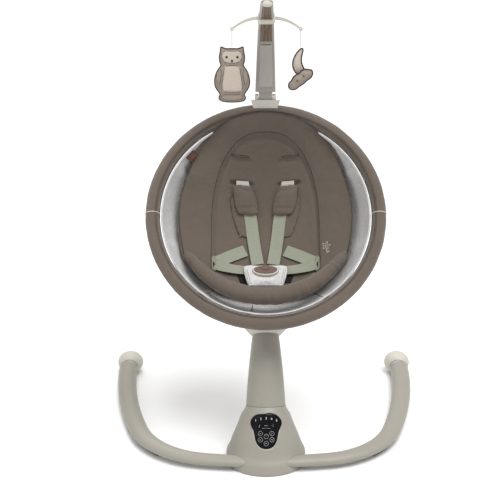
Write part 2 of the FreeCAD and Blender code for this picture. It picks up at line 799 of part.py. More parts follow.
def torus_half(radius, side, trim):
    """Half a ring in the seat's frame: side 1 is the upper half, -1 the lower."""
    turn = trim if side > 0 else trim + HALF_TURN
    return primitive("Torus", {"Radius1": "ring_radius", "Radius2": radius, "Angle1": "-180",
                               "Angle2": "180", "Angle3": str(HALF_TURN - 2 * trim)},
                     in_seat(0, 0, 0, FreeCAD.Rotation(vec(0, 0, 1), turn)))


def seat_ring():
    seam = 0.15
    for name, side in (("upper", 1), ("lower", -1)):
        tube = cut(torus_half("ring_tube", side, seam), torus_half("ring_tube - ring_wall", side, 0))
        keep(tube, "ring_%s_tube" % name)
        cover = cut(torus_half("cover_radius", side, seam), torus_half("ring_tube + 0.1", side, 0))
        keep(cover, "ring_cover_" + name)
    joiner_turn = 4
    joiners = []
    for start in (-joiner_turn, HALF_TURN - joiner_turn):
        joiners.append(primitive("Torus", {"Radius1": "ring_radius",
                                           "Radius2": "ring_tube - ring_wall - 0.1",
                                           "Angle1": "-180", "Angle2": "180",
                                           "Angle3": str(2 * joiner_turn)},
                                 in_seat(0, 0, 0, FreeCAD.Rotation(vec(0, 0, 1), start))))
    keep(many("Compound", joiners), "ring_joiners")


def bowl_sling():
    above = box("600", "600", "400", in_seat(-300, -300, 0))
    keep(cut(shell_ellipsoid("0"), shell_ellipsoid("-bowl_thick"), above), "bowl_sling")


# ---------------------------------------------------------------- soft seat

def dish_sphere(rise):
    """Ball whose surface stands rise above the inlay's dished face, in the ring's frame."""
    centre = vec(0, size("dish_centre"), size("dish_radius - dish_depth"))
    return Part.makeSphere(size("dish_radius") - rise, centre)


def on_dish(outline, low, high, smooth=False):
    """A layer that lies between low and high above the dished face, within the outline."""
    points = [vec(x, up, -220) for x, up in outline]
    make = smooth_prism if smooth else prism
    return make(points, vec(0, 0, 300)).common(dish_sphere(low).cut(dish_sphere(high)))


def mirrored(points):
    """A closed outline from its right half, given top to bottom with both ends on the axis."""
    return points + [(-x, up) for x, up in reversed(points[1:-1])]


INLAY_HALF = [(0, 246), (45, 239), (87, 219), (132, 186), (167, 131), (183, 86), (194, 37), (193, -17),
              (182, -75), (150, -125), (90, -158), (0, -166)]


def inlay_pad():
    pad = on_dish(mirrored(INLAY_HALF), -size("pad_depth"), 0, smooth=True)
    wide = size("bowl_radius - bowl_thick") - 1.5
    deep = size("bowl_depth - bowl_thick") - 1.5
    room = Part.makeSphere(1)
    shape = FreeCAD.Matrix()
    shape.scale(wide, wide, deep)
    room = room.transformGeometry(shape)
    room = room.fuse(block(vec(-300, -300, -0.5), vec(300, 300, 100)))
    ring_room = Part.makeTorus(size("ring_radius"), size("cover_radius") + 0.8)
    keep(feature(largest(pad.common(room).cut(ring_room)), SEAT), "inlay_pad")


def front_roll():
    half = 62
    start = 270 - half
    keep(primitive("Torus", {"Radius1": "roll_bend", "Radius2": "roll_radius", "Angle1": "-180",
                             "Angle2": "180", "Angle3": str(2 * half)},
                   in_seat(0, 22, -38.5, FreeCAD.Rotation(vec(0, 0, 1), start))), "front_roll")


def band(path, width):
    """Outline of a band of even width along a path of points."""
    left = []
    right = []
    for index, (x, up) in enumerate(path):
        before = path[max(index - 1, 0)]
        after = path[min(index + 1, len(path) - 1)]
        run = vec(after[0] - before[0], after[1] - before[1], 0).normalize()
        left.append((x - run.y * width / 2, up + run.x * width / 2))
        right.append((x + run.y * width / 2, up - run.x * width / 2))
    return left + right[::-1]


SHOULDER_PATH = [(55, 106), (46, 60), (33, 26), (27, -20), (20, -72)]
SHOULDER_PAD_PATH = [(52, 98), (46, 62), (40, 28)]
WAIST_OUT = [(36, -101), (74, -99), (112, -88)]
WAIST_BACK = [(112, -86), (82, -66), (48, -52)]


def harness():
    width = size("web_width")
    thick = size("web_thick")
    for name, side in SIDES:
        strap = on_dish(band([(side * x, up) for x, up in SHOULDER_PATH], width), 0.6, 0.6 + thick)
        keep(feature(strap, SEAT), "shoulder_strap_" + name)
        pad = on_dish(band([(side * x, up) for x, up in SHOULDER_PAD_PATH], 52), 3, 15)
        keep(feature(pad, SEAT), "shoulder_pad_" + name)
        out = on_dish(band([(side * x, up) for x, up in WAIST_OUT], width), 4.4, 4.4 + thick)
        back = on_dish(band([(side * x, up) for x, up in WAIST_BACK], width), 4.4 - thick, 4.4)
        keep(feature(out.fuse(back).removeSplitter(), SEAT), "waist_strap_" + name)
    crotch = [(0, -94), (36, -94), (56, -99), (55, -112), (46, -134), (38, -144), (0, -146)]
    keep(feature(on_dish(mirrored(crotch), 6.6, 13.5, smooth=True), SEAT), "crotch_pad")


BUCKLE_UP = -108
BUCKLE_RISE = 15.4


def buckle_frame():
    """Placement on the crotch pad: Z points out of the buckle's face."""
    off = BUCKLE_UP - size("dish_centre")
    radius = size("dish_radius")
    lean = math.asin(off / radius)
    centre = vec(0, size("dish_centre"), size("dish_radius - dish_depth"))
    normal = vec(0, -math.sin(lean), math.cos(lean))
    base = centre - normal * (radius - BUCKLE_RISE)
    return SEAT * turned_about_x(base, math.degrees(lean))


def oval(width, height):
    """A sketch filler: an ellipse centred on the sketch's origin."""
    return lambda sketch: sketch_ellipse(sketch, "(%s) / 2" % width, "(%s) / 2" % height)


def buckle():
    frame = buckle_frame()
    housing = padded_body(oval("buckle_width", "buckle_height"), "buckle_thick", frame)
    well_floor = FreeCAD.Placement(vec(0, 0, size("buckle_thick") - 7.5), FreeCAD.Rotation())
    well = padded_body(oval("button_width + 0.8", "button_height + 0.8"), "20", frame * well_floor)
    keep(cut(housing, well), "buckle_housing")
    button_floor = FreeCAD.Placement(vec(0, 0, size("buckle_thick") - 4), FreeCAD.Rotation())
    button = padded_body(oval("button_width", "button_height"), "6")
    keep(button, "buckle_button", frame * button_floor)
    tongues = []
    for _, side in SIDES:
        corner = vec(side * 35 - 8, -7, 3)
        blank = box("16", "14", "2.4", frame * FreeCAD.Placement(corner, FreeCAD.Rotation()))
        tongues.append(cut(blank, housing))
    keep(many("Compound", tongues), "buckle_tongues")


def side_tag():
    """Small plain tag sewn to the bowl beside the inlay, near the child's right shoulder."""
    round_ring = FreeCAD.Rotation(vec(0, 0, 1), 139)
    leaning = FreeCAD.Placement(vec(219, 0, -13.5), FreeCAD.Rotation(vec(0, 1, 0), 65))
    spot = SEAT * FreeCAD.Placement(ORIGIN, round_ring) * leaning
    keep(rounded_box("1.4", "24", "16", "0.6", spot), "side_tag")


# ---------------------------------------------------------------- toy bar

BAR_FOOT_ANGLE = 4
BAR_TIP_ANGLE = 90


def bar_point(angle):
    """Point, forward tangent and inward normal on the bar's quarter ellipse."""
    turn = math.radians(angle)
    centre = BAR_PIVOT - vec(0, size("bar_reach"), 0)
    point = centre + vec(0, size("bar_reach") * math.cos(turn), size("bar_rise") * math.sin(turn))
    tangent = vec(0, -size("bar_reach") * math.sin(turn), size("bar_rise") * math.cos(turn)).normalize()
    inward = tangent.cross(vec(1, 0, 0)) * -1
    if inward.dot(centre - point) < 0:
        inward = inward * -1
    return point, tangent, inward


def bar_size(angle):
    part = (angle - BAR_FOOT_ANGLE) / (BAR_TIP_ANGLE - BAR_FOOT_ANGLE)
    width = size("bar_base_width") * (1 - part) + size("bar_tip_width") * part
    thick = size("bar_base_thick") * (1 - part) + size("bar_tip_thick") * part
    return width, thick


def rounded_section(centre, inward, half_width, half_thick, radius):
    """A rounded rectangle across the bar, as a wire of four lines and four arcs."""
    across = vec(1, 0, 0)
    edges = []
    corners = ((1, 1), (-1, 1), (-1, -1), (1, -1))
    spots = []
    for cx, cy in corners:
        middle = centre + across * (cx * (half_width - radius)) + inward * (cy * (half_thick - radius))
        first = middle + (across * cx if cx * cy > 0 else inward * cy) * radius
        last = middle + (inward * cy if cx * cy > 0 else across * cx) * radius
        bow = middle + (across * cx + inward * cy).normalize() * radius
        spots.append((first, bow, last))
    for index, (first, bow, last) in enumerate(spots):
        edges.append(Part.Arc(first, bow, last).toShape())
        edges.append(Part.LineSegment(last, spots[(index + 1) % 4][0]).toShape())
    return Part.Wire(edges)


def bar_solid(start, finish, grow=0.0, steps=10):
    """The bar between two angles, grown on every side."""
    wires = []
    for step in range(steps + 1):
        angle = start + (finish - start) * step / steps
        point, _, inward = bar_point(angle)
        width, thick = bar_size(angle)
        wires.append(rounded_section(point, inward, width / 2 + grow, thick / 2 + grow,
                                     thick * 0.32 + max(grow, 0)))
    return loft(wires)


def channel_solid(start, finish, share, depth, steps=8):
    """A cutter for the bar's inner face: share of the width, depth deep, standing proud of it."""
    proud = 3
    wires = []
    for step in range(steps + 1):
        angle = start + (finish - start) * step / steps
        point, _, inward = bar_point(angle)
        width, thick = bar_size(angle)
        top = point + inward * (thick / 2 + proud)
        low = point + inward * (thick / 2 - depth)
        half = vec(width * share / 2, 0, 0)
        wires.append(Part.makePolygon([top - half, top + half, low + half, low - half, top - half]))
    return Part.makeLoft(wires, True, False)


INLAY_ANGLES = (36, 84)
PANEL_ANGLES = (7, 34)
COLLAR_ANGLE = 53.5


def toy_bar():
    bar = bar_solid(BAR_FOOT_ANGLE, BAR_TIP_ANGLE)
    inlay_cut = channel_solid(*INLAY_ANGLES, 0.72, 2.2)
    panel_cut = channel_solid(*PANEL_ANGLES, 0.5, 1.6)
    foot, _, _ = bar_point(BAR_FOOT_ANGLE)
    barrel = Part.makeCylinder(10, 30, BAR_PIVOT - vec(15, 0, 0), vec(1, 0, 0))
    neck = block(vec(-15, BAR_PIVOT.y - 9, BAR_PIVOT.z), vec(15, BAR_PIVOT.y + 9, foot.z + 4))
    bore = Part.makeCylinder(size("3 + running_gap"), 60, BAR_PIVOT - vec(30, 0, 0), vec(1, 0, 0))
    solid = bar.cut(inlay_cut).cut(panel_cut)
    keep(feature(largest(solid.fuse(neck).fuse(barrel).cut(bore))), "toy_bar")
    keep(feature(largest(inlay_cut.common(bar))), "toy_bar_inlay")


def toy_bar_tip():
    """Rounded cap on the bar's front end."""
    point, tangent, _ = bar_point(BAR_TIP_ANGLE)
    width, thick = bar_size(BAR_TIP_ANGLE)
    ball = primitive("Ellipsoid", {"Radius1": "bar_tip_thick / 2", "Radius2": "bar_tip_width / 2",
                                   "Radius3": "bar_tip_width / 2", "Angle1": "-90",
                                   "Angle2": "90", "Angle3": "360"},
                     FreeCAD.Placement(point, FreeCAD.Rotation()))
    behind = box("60", "60", "60", FreeCAD.Placement(point + vec(-30, 0, -30), FreeCAD.Rotation()))
    keep(cut(ball, behind), "toy_bar_tip")


def arm_solid(side, level, start):
    """One thin arm that droops to an eyelet, as (x, z) outline given depth along Y."""
    reach = size("arm_half_span")
    drop = size("arm_drop")
    top = []
    steps = 8
    for step in range(steps + 1):
        part = step / steps
        x = start + (reach - start) * part
        top.append((x, level - drop * part ** 2, 3.6 - 1.2 * part))
    upper = [vec(side * x, -2, z + half) for x, z, half in top]
    lower = [vec(side * x, -2, z - half) for x, z, half in reversed(top)]
    body = prism(upper + lower, vec(0, 4, 0))
    eye = Part.makeCylinder(4, 4, vec(side * reach, -2, level - drop), vec(0, 1, 0))
    hole = Part.makeCylinder(1.6, 6, vec(side * reach, -3, level - drop), vec(0, 1, 0))
    return body.fuse(eye).cut(hole)


def toy_hanger():
    """Collar round the bar with an arm to each toy."""
    collar = bar_solid(COLLAR_ANGLE - 2.2, COLLAR_ANGLE + 2.2, 2.4, 2)
    collar = collar.cut(bar_solid(COLLAR_ANGLE - 4, COLLAR_ANGLE + 4, 0.1, 2))
    point, _, _ = bar_point(COLLAR_ANGLE)
    width, _ = bar_size(COLLAR_ANGLE)
    solid = collar
    for _, side in SIDES:
        arm = arm_solid(side, 0, width / 2 + 0.8)
        arm.translate(point)
        solid = solid.fuse(arm)
    keep(feature(solid.removeSplitter()), "toy_hanger")


def toy_bar_clip():
    """Saddle on the ring's top with two ears for the bar's pin."""
    ring_top = SEAT.multVec(vec(0, size("ring_radius"), 0))
    low = ring_top.z + 4
    high = ring_top.z + 18.5
    front = ring_top.y - 12
    saddle = [vec(-26, front, low), vec(26, front, low), vec(30, front, high), vec(-30, front, high)]
    plate = [vec(-26, front, low), vec(26, front, low), vec(33, front, high + 10),
             vec(-33, front, high + 10)]
    base = prism(saddle, vec(0, 36, 0)).fuse(prism(plate, vec(0, 2.5, 0)))
    base = base.cut(Part.makeCylinder(11.5, 33, BAR_PIVOT - vec(16.5, 0, 0), vec(1, 0, 0)))
    for x in (-24, 16):
        ear = Part.makeCylinder(10, 8, BAR_PIVOT + vec(x, 0, 0), vec(1, 0, 0))
        web = block(vec(x, BAR_PIVOT.y - 10, high - 4), vec(x + 8, BAR_PIVOT.y + 10, BAR_PIVOT.z))
        base = base.fuse(ear).fuse(web)
    bore = Part.makeCylinder(3, 60, BAR_PIVOT - vec(30, 0, 0), vec(1, 0, 0))
    hold = Part.makeTorus(size("ring_radius"), size("cover_radius") + 0.1)
    hold.Placement = SEAT
    solid = base.cut(bore).cut(hold).removeSplitter()
    keep(feature(largest(solid)), "toy_bar_clip")
    pin = FreeCAD.Placement(BAR_PIVOT - vec(24, 0, 0), ALONG_X)
    keep(turned_body([("0", "0"), ("3", "0"), ("3", "48"), ("0", "48")]), "toy_bar_pin", pin)


# ---------------------------------------------------------------- hanging toys

def eyelet(side):
    point, _, _ = bar_point(COLLAR_ANGLE)
    return point + vec(side * size("arm_half_span"), 0, -size("arm_drop"))


STRING_TOP = 4.7


def toys():
    strings = (("owl_string", -1), ("moon_string", 1))
    for name, side in strings:
        foot = eyelet(side) - vec(0, 0, STRING_TOP + size("string_length"))
        keep(cylinder("string_radius", "string_length", FreeCAD.Placement(foot, FreeCAD.Rotation())),
             name)
    hang = size("string_length") + STRING_TOP + 0.3
    owl_centre = eyelet(-1) - vec(0, 0, hang + size("owl_height") / 2)
    owl = FreeCAD.Placement(owl_centre, FreeCAD.Rotation())
    keep(rounded_box("owl_width", "owl_thick", "owl_height", "7.5", owl), "owl_toy")
    moon_top = eyelet(1) - vec(0, 0, hang)
    radius = size("moon_radius")
    disc = Part.makeCylinder(radius, 10, moon_top - vec(0, 0, radius) - vec(0, 5, 0), vec(0, 1, 0))
    bite = Part.makeCylinder(radius * 0.92, 12, moon_top - vec(17, 6, radius - 5), vec(0, 1, 0))
    keep(feature(disc.cut(bite)), "moon_toy")
    cloud_spot = FreeCAD.Placement(moon_top - vec(0, 12.5, 2 * radius + 3),
                                   FreeCAD.Rotation(vec(0, 1, 0), -38))
    keep(rounded_box("cloud_length", "14", "cloud_width", "6", cloud_spot), "cloud_toy")


# ---------------------------------------------------------------- build, check and write

def build():
    base_tubes()
    base_joiner()
    end_caps()
    foot_strips()
    hub_shells()
    control_panel()
    hub_floor()
    electronics()
    spindle_parts()
    leg_shells()
    leg_tube()
    pivot_knuckle()
    seat_shell()
    seat_cup()
    recline_pin()
    seat_ring()
    bowl_sling()
    inlay_pad()
    front_roll()
    harness()
    buckle()
    side_tag()
    toy_bar()
    toy_bar_tip()
    toy_hanger()
    toy_bar_clip()
    toys()


def check():
    doc.recompute()
    for thing in doc.Objects:
        if "Invalid" in thing.State or "Error" in thing.State:
            raise RuntimeError("%s did not build" % thing.Label)
    for thing in parts:
        if thing.Shape.isNull() or not thing.Shape.isValid() or not thing.Shape.Solids:
            raise RuntimeError("%s has no valid solid" % thing.Label)


def write():
    os.makedirs("parts", exist_ok=True)
    for thing in parts:
        thing.Shape.exportStep("parts/%s.step" % thing.Label)
        print("%-22s %d solid(s), %.1f cm3" % (thing.Label, len(thing.Shape.Solids),
                                              thing.Shape.Volume / 1000))


build()
check()
write()
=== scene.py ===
"""Baby swing: fabrics, fittings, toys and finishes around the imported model.

Metres, in the model's own frame: +Z is up, +X is the seated child's left, -Y is the front.
"""
import math

import bmesh
import bpy
from bpy.props import FloatProperty, FloatVectorProperty, IntProperty, PointerProperty
from mathutils import Matrix, Vector, noise
from mathutils.bvhtree import BVHTree


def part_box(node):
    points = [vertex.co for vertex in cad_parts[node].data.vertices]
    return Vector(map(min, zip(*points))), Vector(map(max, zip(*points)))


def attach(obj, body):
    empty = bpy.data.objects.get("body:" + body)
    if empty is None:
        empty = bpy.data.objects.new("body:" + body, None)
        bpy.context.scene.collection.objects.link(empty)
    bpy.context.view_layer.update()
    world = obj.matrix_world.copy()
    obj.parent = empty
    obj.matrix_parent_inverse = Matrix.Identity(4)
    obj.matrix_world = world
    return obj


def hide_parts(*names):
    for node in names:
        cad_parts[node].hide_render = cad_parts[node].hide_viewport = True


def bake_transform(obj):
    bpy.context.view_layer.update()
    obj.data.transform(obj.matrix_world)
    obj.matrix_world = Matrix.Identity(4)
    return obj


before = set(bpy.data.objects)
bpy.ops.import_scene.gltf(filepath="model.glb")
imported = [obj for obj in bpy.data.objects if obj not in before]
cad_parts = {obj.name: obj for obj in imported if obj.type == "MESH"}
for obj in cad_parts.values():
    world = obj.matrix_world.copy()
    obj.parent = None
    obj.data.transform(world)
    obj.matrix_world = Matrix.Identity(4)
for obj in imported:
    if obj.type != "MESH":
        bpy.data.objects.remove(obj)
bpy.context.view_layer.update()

bl_info = {
    "name": "Baby swing",
    "version": (1, 0, 0),
    "blender": (4, 5, 0),
    "location": "View3D > Sidebar > Swing",
    "description": "Builds the finished surfaces of a baby swing around its frame",
    "category": "Add Mesh",
}

# ---------------------------------------------------------------- frames of reference

SEAT_CENTRE = (0, 0.183, 0.514)
SEAT_LEAN = math.radians(50.3)
SEAT = Matrix.Translation(SEAT_CENTRE) @ Matrix.Rotation(SEAT_LEAN, 4, "X")
SEAT_INVERSE = SEAT.inverted()

# The inlay's face is part of a ball; both are in the seat ring's own frame.
DISH_RADIUS = 0.330
DISH_CENTRE = Vector((0, -0.020, 0.215))

RING_RADIUS = 0.250
COVER_RADIUS = 0.0155
BOWL_WIDE = 0.232
BOWL_DEEP = 0.171
BOWL_WALL = 0.004
# Angle round the ring and half width, in degrees; the first three are sewn gathers, with dark cords
# of painted shade in their folds.
BOWL_CREASES = ((232, 2.2), (261, 1.8), (305, 2.2), (196, 3.0), (344, 3.0), (150, 3.5),
                (30, 3.5))
ROLL_CENTRE = Vector((0, 0.022, -0.0385))
ROLL_BEND = 0.200
ROLL_RADIUS = 0.0165
ROLL_HALF_ANGLE = math.radians(62)
SIDES = (("left", -1), ("right", 1))

# The toy bar is a quarter ellipse; its width and thickness shrink from foot to tip.
BAR_CENTRE = Vector((0, 0.140, 0.736))
BAR_REACH = 0.205
BAR_RISE = 0.240
BAR_FOOT_ANGLE = 4
BAR_TIP_ANGLE = 90
BAR_FOOT_SECTION = (0.046, 0.020)
BAR_TIP_SECTION = (0.022, 0.012)

# The leg turns on an axis that leans back from the hub's foot.
HUB_LEAN = math.radians(22.1)
SWING_AXIS = Vector((0, math.sin(HUB_LEAN), math.cos(HUB_LEAN)))
SPLIT_REACH = 0.1223
LEG_BASE_RADIUS = 0.0438

STRING_RADIUS = 0.00075
EYELET_GAP = 0.0047


def seat(x, up, out):
    """A point given in the seat ring's own plane."""
    return SEAT @ Vector((x, up, out))


def in_seat(point):
    """A point of the model's frame, given in the seat ring's own."""
    return SEAT_INVERSE @ point


def dish(x, up, rise=0.0):
    """A point at a height above the dished face of the inlay, in the model's frame."""
    radius = DISH_RADIUS - rise
    across = x - DISH_CENTRE.x
    along = up - DISH_CENTRE.y
    return seat(x, up, DISH_CENTRE.z - math.sqrt(radius ** 2 - across ** 2 - along ** 2))


def string_ends(toy):
    """Top and foot of a toy's string."""
    low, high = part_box(toy + "_string")
    middle = (low + high) / 2
    return Vector((middle.x, middle.y, high.z)), Vector((middle.x, middle.y, low.z))


def bar_spot(angle, inward, across):
    """A point on the toy bar: inward of its middle line, and across from it."""
    turn = math.radians(angle)
    middle = BAR_CENTRE + Vector((0, BAR_REACH * math.cos(turn), BAR_RISE * math.sin(turn)))
    run = Vector((0, -BAR_REACH * math.sin(turn), BAR_RISE * math.cos(turn))).normalized()
    side = run.cross(Vector((1, 0, 0)))
    if side.dot(BAR_CENTRE - middle) < 0:
        side = -side
    return middle + side * inward + Vector((across, 0, 0))


def bar_section(angle):
    """Width and thickness of the toy bar."""
    part = (angle - BAR_FOOT_ANGLE) / (BAR_TIP_ANGLE - BAR_FOOT_ANGLE)
    return [foot + (tip - foot) * part for foot, tip in zip(BAR_FOOT_SECTION, BAR_TIP_SECTION)]


def dish_normal(x, up):
    """Unit normal of the dished face, towards the child."""
    low = in_seat(dish(x, up))
    return SEAT.to_3x3() @ (DISH_CENTRE - low).normalized()


# ---------------------------------------------------------------- settings

class SwingSizes(bpy.types.PropertyGroup):
    """Mesh, filling and webbing settings."""

    voxel: FloatProperty(name="Pad mesh", description="Mesh size of the stuffed pieces",
                         default=0.004, min=0.002, max=0.010, unit="LENGTH", precision=4)
    filling: FloatProperty(name="Filling", description="How hard the stuffed pieces are filled",
                           default=4.0, min=0.0, max=12.0)
    swell: FloatProperty(name="Swell", description="Most that a stuffed piece may grow",
                         default=0.0022, min=0.0, max=0.010, unit="LENGTH", precision=4)
    webbing: FloatProperty(name="Webbing", description="Width of the harness webbing",
                           default=0.028, min=0.020, max=0.040, unit="LENGTH", precision=4)
    frames: IntProperty(name="Filling steps", description="Steps of the filling simulation",
                        default=20, min=5, max=40)


def colour(name, description, default):
    """A colour setting, as three linear values."""
    return FloatVectorProperty(name=name, description=description, subtype="COLOR", size=3,
                               min=0.0, max=1.0, default=default)


class SwingColours(bpy.types.PropertyGroup):
    """Base colours of the finishes."""

    shell: colour("Shell", "Base, hub, leg and bar plastic", (0.318, 0.300, 0.258))
    cream: colour("Cream", "Cup, clip and end cap plastic", (0.56, 0.53, 0.47))
    brown: colour("Brown fabric", "Ring cover, inlay and pads", (0.148, 0.120, 0.097))
    heather: colour("Heathered fabric", "Bowl and crotch cover", (0.68, 0.675, 0.665))
    sage: colour("Webbing", "Harness webbing", (0.300, 0.315, 0.245))
    leather: colour("Leather", "Side tag", (0.085, 0.036, 0.022))
    wood: colour("Wood", "Inlay of the toy bar", (0.150, 0.105, 0.075))
    taupe: colour("Toy taupe", "Wings and cloud", (0.330, 0.275, 0.230))
    pale: colour("Toy cream", "Belly and moon", (0.560, 0.490, 0.415))


def sizes():
    """The size settings in use."""
    return bpy.context.scene.swing_sizes


def colours():
    """The colour settings in use."""
    return bpy.context.scene.swing_colours


# ---------------------------------------------------------------- material nodes

class Finish:
    """A Principled material under construction."""

    def __init__(self, name, roughness=0.5, **values):
        self.material = bpy.data.materials.new(name)
        self.material.use_nodes = True
        self.tree = self.material.node_tree
        self.shader = self.tree.nodes["Principled BSDF"]
        self.shader.inputs["Roughness"].default_value = roughness
        for socket, value in values.items():
            self.shader.inputs[socket.replace("_", " ")].default_value = value
        self.where = self.add("ShaderNodeTexCoord")
        self.height = None

    def add(self, kind, **settings):
        """A node; a setting that starts with an underscore is a value of a socket."""
        node = self.tree.nodes.new(kind)
        for name, value in settings.items():
            if name[0] == "_":
                node.inputs[name[1:].replace("_", " ")].default_value = value
            else:
                setattr(node, name, value)
        return node

    def join(self, source, target):
        self.tree.links.new(source, target)

    def spots(self, scale, coords="Object", detail=3.0, stretch=(1, 1, 1), rough=0.5):
        """Noise between 0 and 1; stretch scales it along each axis."""
        place = self.add("ShaderNodeMapping")
        place.inputs["Scale"].default_value = stretch
        self.join(self.where.outputs[coords], place.inputs["Vector"])
        node = self.add("ShaderNodeTexNoise", _Scale=scale, _Detail=detail, _Roughness=rough)
        self.join(place.outputs["Vector"], node.inputs["Vector"])
        return node.outputs["Fac"]

    def bands(self, scale, axis, coords="UV"):
        """Soft stripes across an axis, between 0 and 1."""
        node = self.add("ShaderNodeTexWave", bands_direction=axis, _Scale=scale, _Distortion=0.6,
                        _Detail=1.0, _Detail_Scale=2.0)
        self.join(self.where.outputs[coords], node.inputs["Vector"])
        return node.outputs["Fac"]

    def maths(self, operation, first, second):
        node = self.add("ShaderNodeMath", operation=operation)
        for socket, value in zip(node.inputs, (first, second)):
            if isinstance(value, (int, float)):
                socket.default_value = value
            else:
                self.join(value, socket)
        return node.outputs["Value"]

    def span(self, source, low, high, start=0.0, finish=1.0):
        """Maps start..finish to low..high."""
        node = self.add("ShaderNodeMapRange", _From_Min=start, _From_Max=finish, _To_Min=low,
                        _To_Max=high)
        self.join(source, node.inputs["Value"])
        return node.outputs["Result"]

    def blend(self, share, first, second):
        """Colour from first to second; each is three numbers or another blend."""
        node = self.add("ShaderNodeMix", data_type="RGBA")
        self.join(share, node.inputs["Factor"])
        for index, value in ((6, first), (7, second)):
            if isinstance(value, tuple):
                node.inputs[index].default_value = (*value, 1)
            else:
                self.join(value, node.inputs[index])
        return node.outputs[2]

    def paint(self, source):
        self.join(source, self.shader.inputs["Base Color"])

    def rough(self, source, low, high):
        self.join(self.span(source, low, high), self.shader.inputs["Roughness"])

    def bump(self, source, distance, strength=1.0):
        """Adds a layer of relief on top of the ones before it."""
        node = self.add("ShaderNodeBump", _Distance=distance, _Strength=strength)
        self.join(source, node.inputs["Height"])
        if self.height:
            self.join(self.height, node.inputs["Normal"])
        self.height = node.outputs["Normal"]
        self.join(self.height, self.shader.inputs["Normal"])


def shade(value, factor):
    """A colour made darker or lighter."""
    return tuple(min(1.0, channel * factor) for channel in value)


def satin_plastic(name, value, roughness=0.42):
    """Moulded plastic with a fine grain and a slight mottle."""
    finish = Finish(name, roughness, Specular_IOR_Level=0.4)
    mottle = finish.spots(9, detail=4)
    grain = finish.spots(1600, detail=1)
    finish.paint(finish.blend(mottle, shade(value, 0.95), shade(value, 1.05)))
    finish.rough(finish.spots(55, detail=5), roughness - 0.06, roughness + 0.08)
    finish.bump(grain, 0.00004, 0.5)
    return finish.material


def woven(name, value, pitch, contrast, sheen, ribs=1.0, fleck=0.12):
    """Cloth with warp and weft in the piece's own UV map, in metres."""
    finish = Finish(name, 0.88, Sheen_Weight=sheen, Sheen_Roughness=0.45,
                    Specular_IOR_Level=0.18)
    turns = 0.31 / pitch
    warp = finish.bands(turns, "X")
    weft = finish.bands(turns, "Y")
    threads = finish.maths("ADD", finish.maths("MULTIPLY", warp, ribs), weft)
    slub_up = finish.spots(150, "UV", 3, (3.5, 0.35, 1))
    slub_across = finish.spots(150, "UV", 3, (0.35, 3.5, 1))
    heather = finish.span(finish.maths("ADD", slub_up, slub_across), 0, 1, 0.75, 1.25)
    base = finish.blend(heather, shade(value, 1 - contrast), shade(value, 1 + contrast))
    wear = finish.span(finish.spots(7, "Object", 4), 0, 1, 0.35, 0.65)
    dusty = finish.blend(wear, shade(value, 1 - fleck), shade(value, 1 + fleck))
    mix = finish.add("ShaderNodeMix", data_type="RGBA", _Factor=0.4)
    finish.join(base, mix.inputs[6])
    finish.join(dusty, mix.inputs[7])
    finish.paint(mix.outputs[2])
    finish.rough(heather, 0.82, 0.95)
    finish.bump(finish.spots(60, "Object", 4), 0.0007, 0.35)
    finish.bump(threads, 0.00022, 0.8)
    return finish.material


def felt(name, value):
    """Matted fibres with loose tufts."""
    finish = Finish(name, 0.93, Sheen_Weight=0.35, Sheen_Roughness=0.5, Specular_IOR_Level=0.15)
    fibres = finish.spots(420, detail=5, rough=0.7)
    tufts = finish.spots(60, detail=4)
    finish.paint(finish.blend(finish.span(fibres, 0, 1, 0.3, 0.7), shade(value, 0.84),
                              shade(value, 1.14)))
    finish.rough(tufts, 0.86, 0.98)
    finish.bump(tufts, 0.0006, 0.5)
    finish.bump(fibres, 0.0003, 0.8)
    return finish.material


def glossy_panel():
    """Smoked window of the touch panel."""
    finish = Finish("panel_gloss", 0.14, Specular_IOR_Level=0.12)
    finish.paint(finish.blend(finish.spots(30, detail=2), (0.004, 0.004, 0.005),
                              (0.009, 0.009, 0.011)))
    finish.rough(finish.spots(80, detail=5), 0.12, 0.20)
    finish.bump(finish.spots(14, detail=1), 0.00008, 0.3)
    return finish.material


def wood_look():
    """Printed wood grain that runs along the bar, with two fine grooves darkened with painted
    shade.
    """
    finish = Finish("bar_wood", 0.5, Coat_Weight=0.15, Coat_Roughness=0.3)
    value = tuple(colours().wood)
    grain = finish.spots(38, detail=6, stretch=(6, 0.6, 0.6), rough=0.62)
    rings = finish.spots(240, detail=2, stretch=(5, 0.25, 0.25))
    tone = finish.span(finish.maths("ADD", grain, finish.maths("MULTIPLY", rings, 0.4)), 0, 1,
                       0.45, 0.95)
    parts = finish.add("ShaderNodeSeparateXYZ")
    finish.join(finish.where.outputs["Object"], parts.inputs["Vector"])
    off = finish.maths("ABSOLUTE", parts.outputs["X"], 0)
    # The groove mask dents the two grooves and darkens them with painted shade.
    groove = finish.span(finish.maths("ABSOLUTE", finish.maths("SUBTRACT", off, 0.0042), 0), 1, 0,
                         0.0003, 0.0009)
    body = finish.blend(tone, shade(value, 0.55), shade(value, 1.5))
    finish.paint(finish.blend(groove, body, shade(value, 0.25)))
    finish.rough(tone, 0.38, 0.6)
    finish.bump(finish.maths("SUBTRACT", tone, finish.maths("MULTIPLY", groove, 4)), 0.0003, 0.6)
    return finish.material


def leather():
    """Grained hide for the side tag."""
    finish = Finish("tag_leather", 0.55, Specular_IOR_Level=0.35)
    value = tuple(colours().leather)
    cells = finish.add("ShaderNodeTexVoronoi", _Scale=900.0)
    finish.join(finish.where.outputs["Object"], cells.inputs["Vector"])
    finish.paint(finish.blend(finish.spots(120, detail=5), shade(value, 0.7), shade(value, 1.35)))
    finish.rough(finish.spots(200), 0.45, 0.7)
    finish.bump(cells.outputs["Distance"], 0.0003, 0.6)
    return finish.material


def metal(name, value, roughness):
    """Brushed metal."""
    finish = Finish(name, roughness, Metallic=1.0)
    brushed = finish.spots(160, detail=4, stretch=(1, 1, 14))
    finish.paint(finish.blend(brushed, shade(value, 0.85), shade(value, 1.1)))
    finish.rough(brushed, roughness - 0.08, roughness + 0.1)
    finish.bump(brushed, 0.00004, 0.4)
    return finish.material


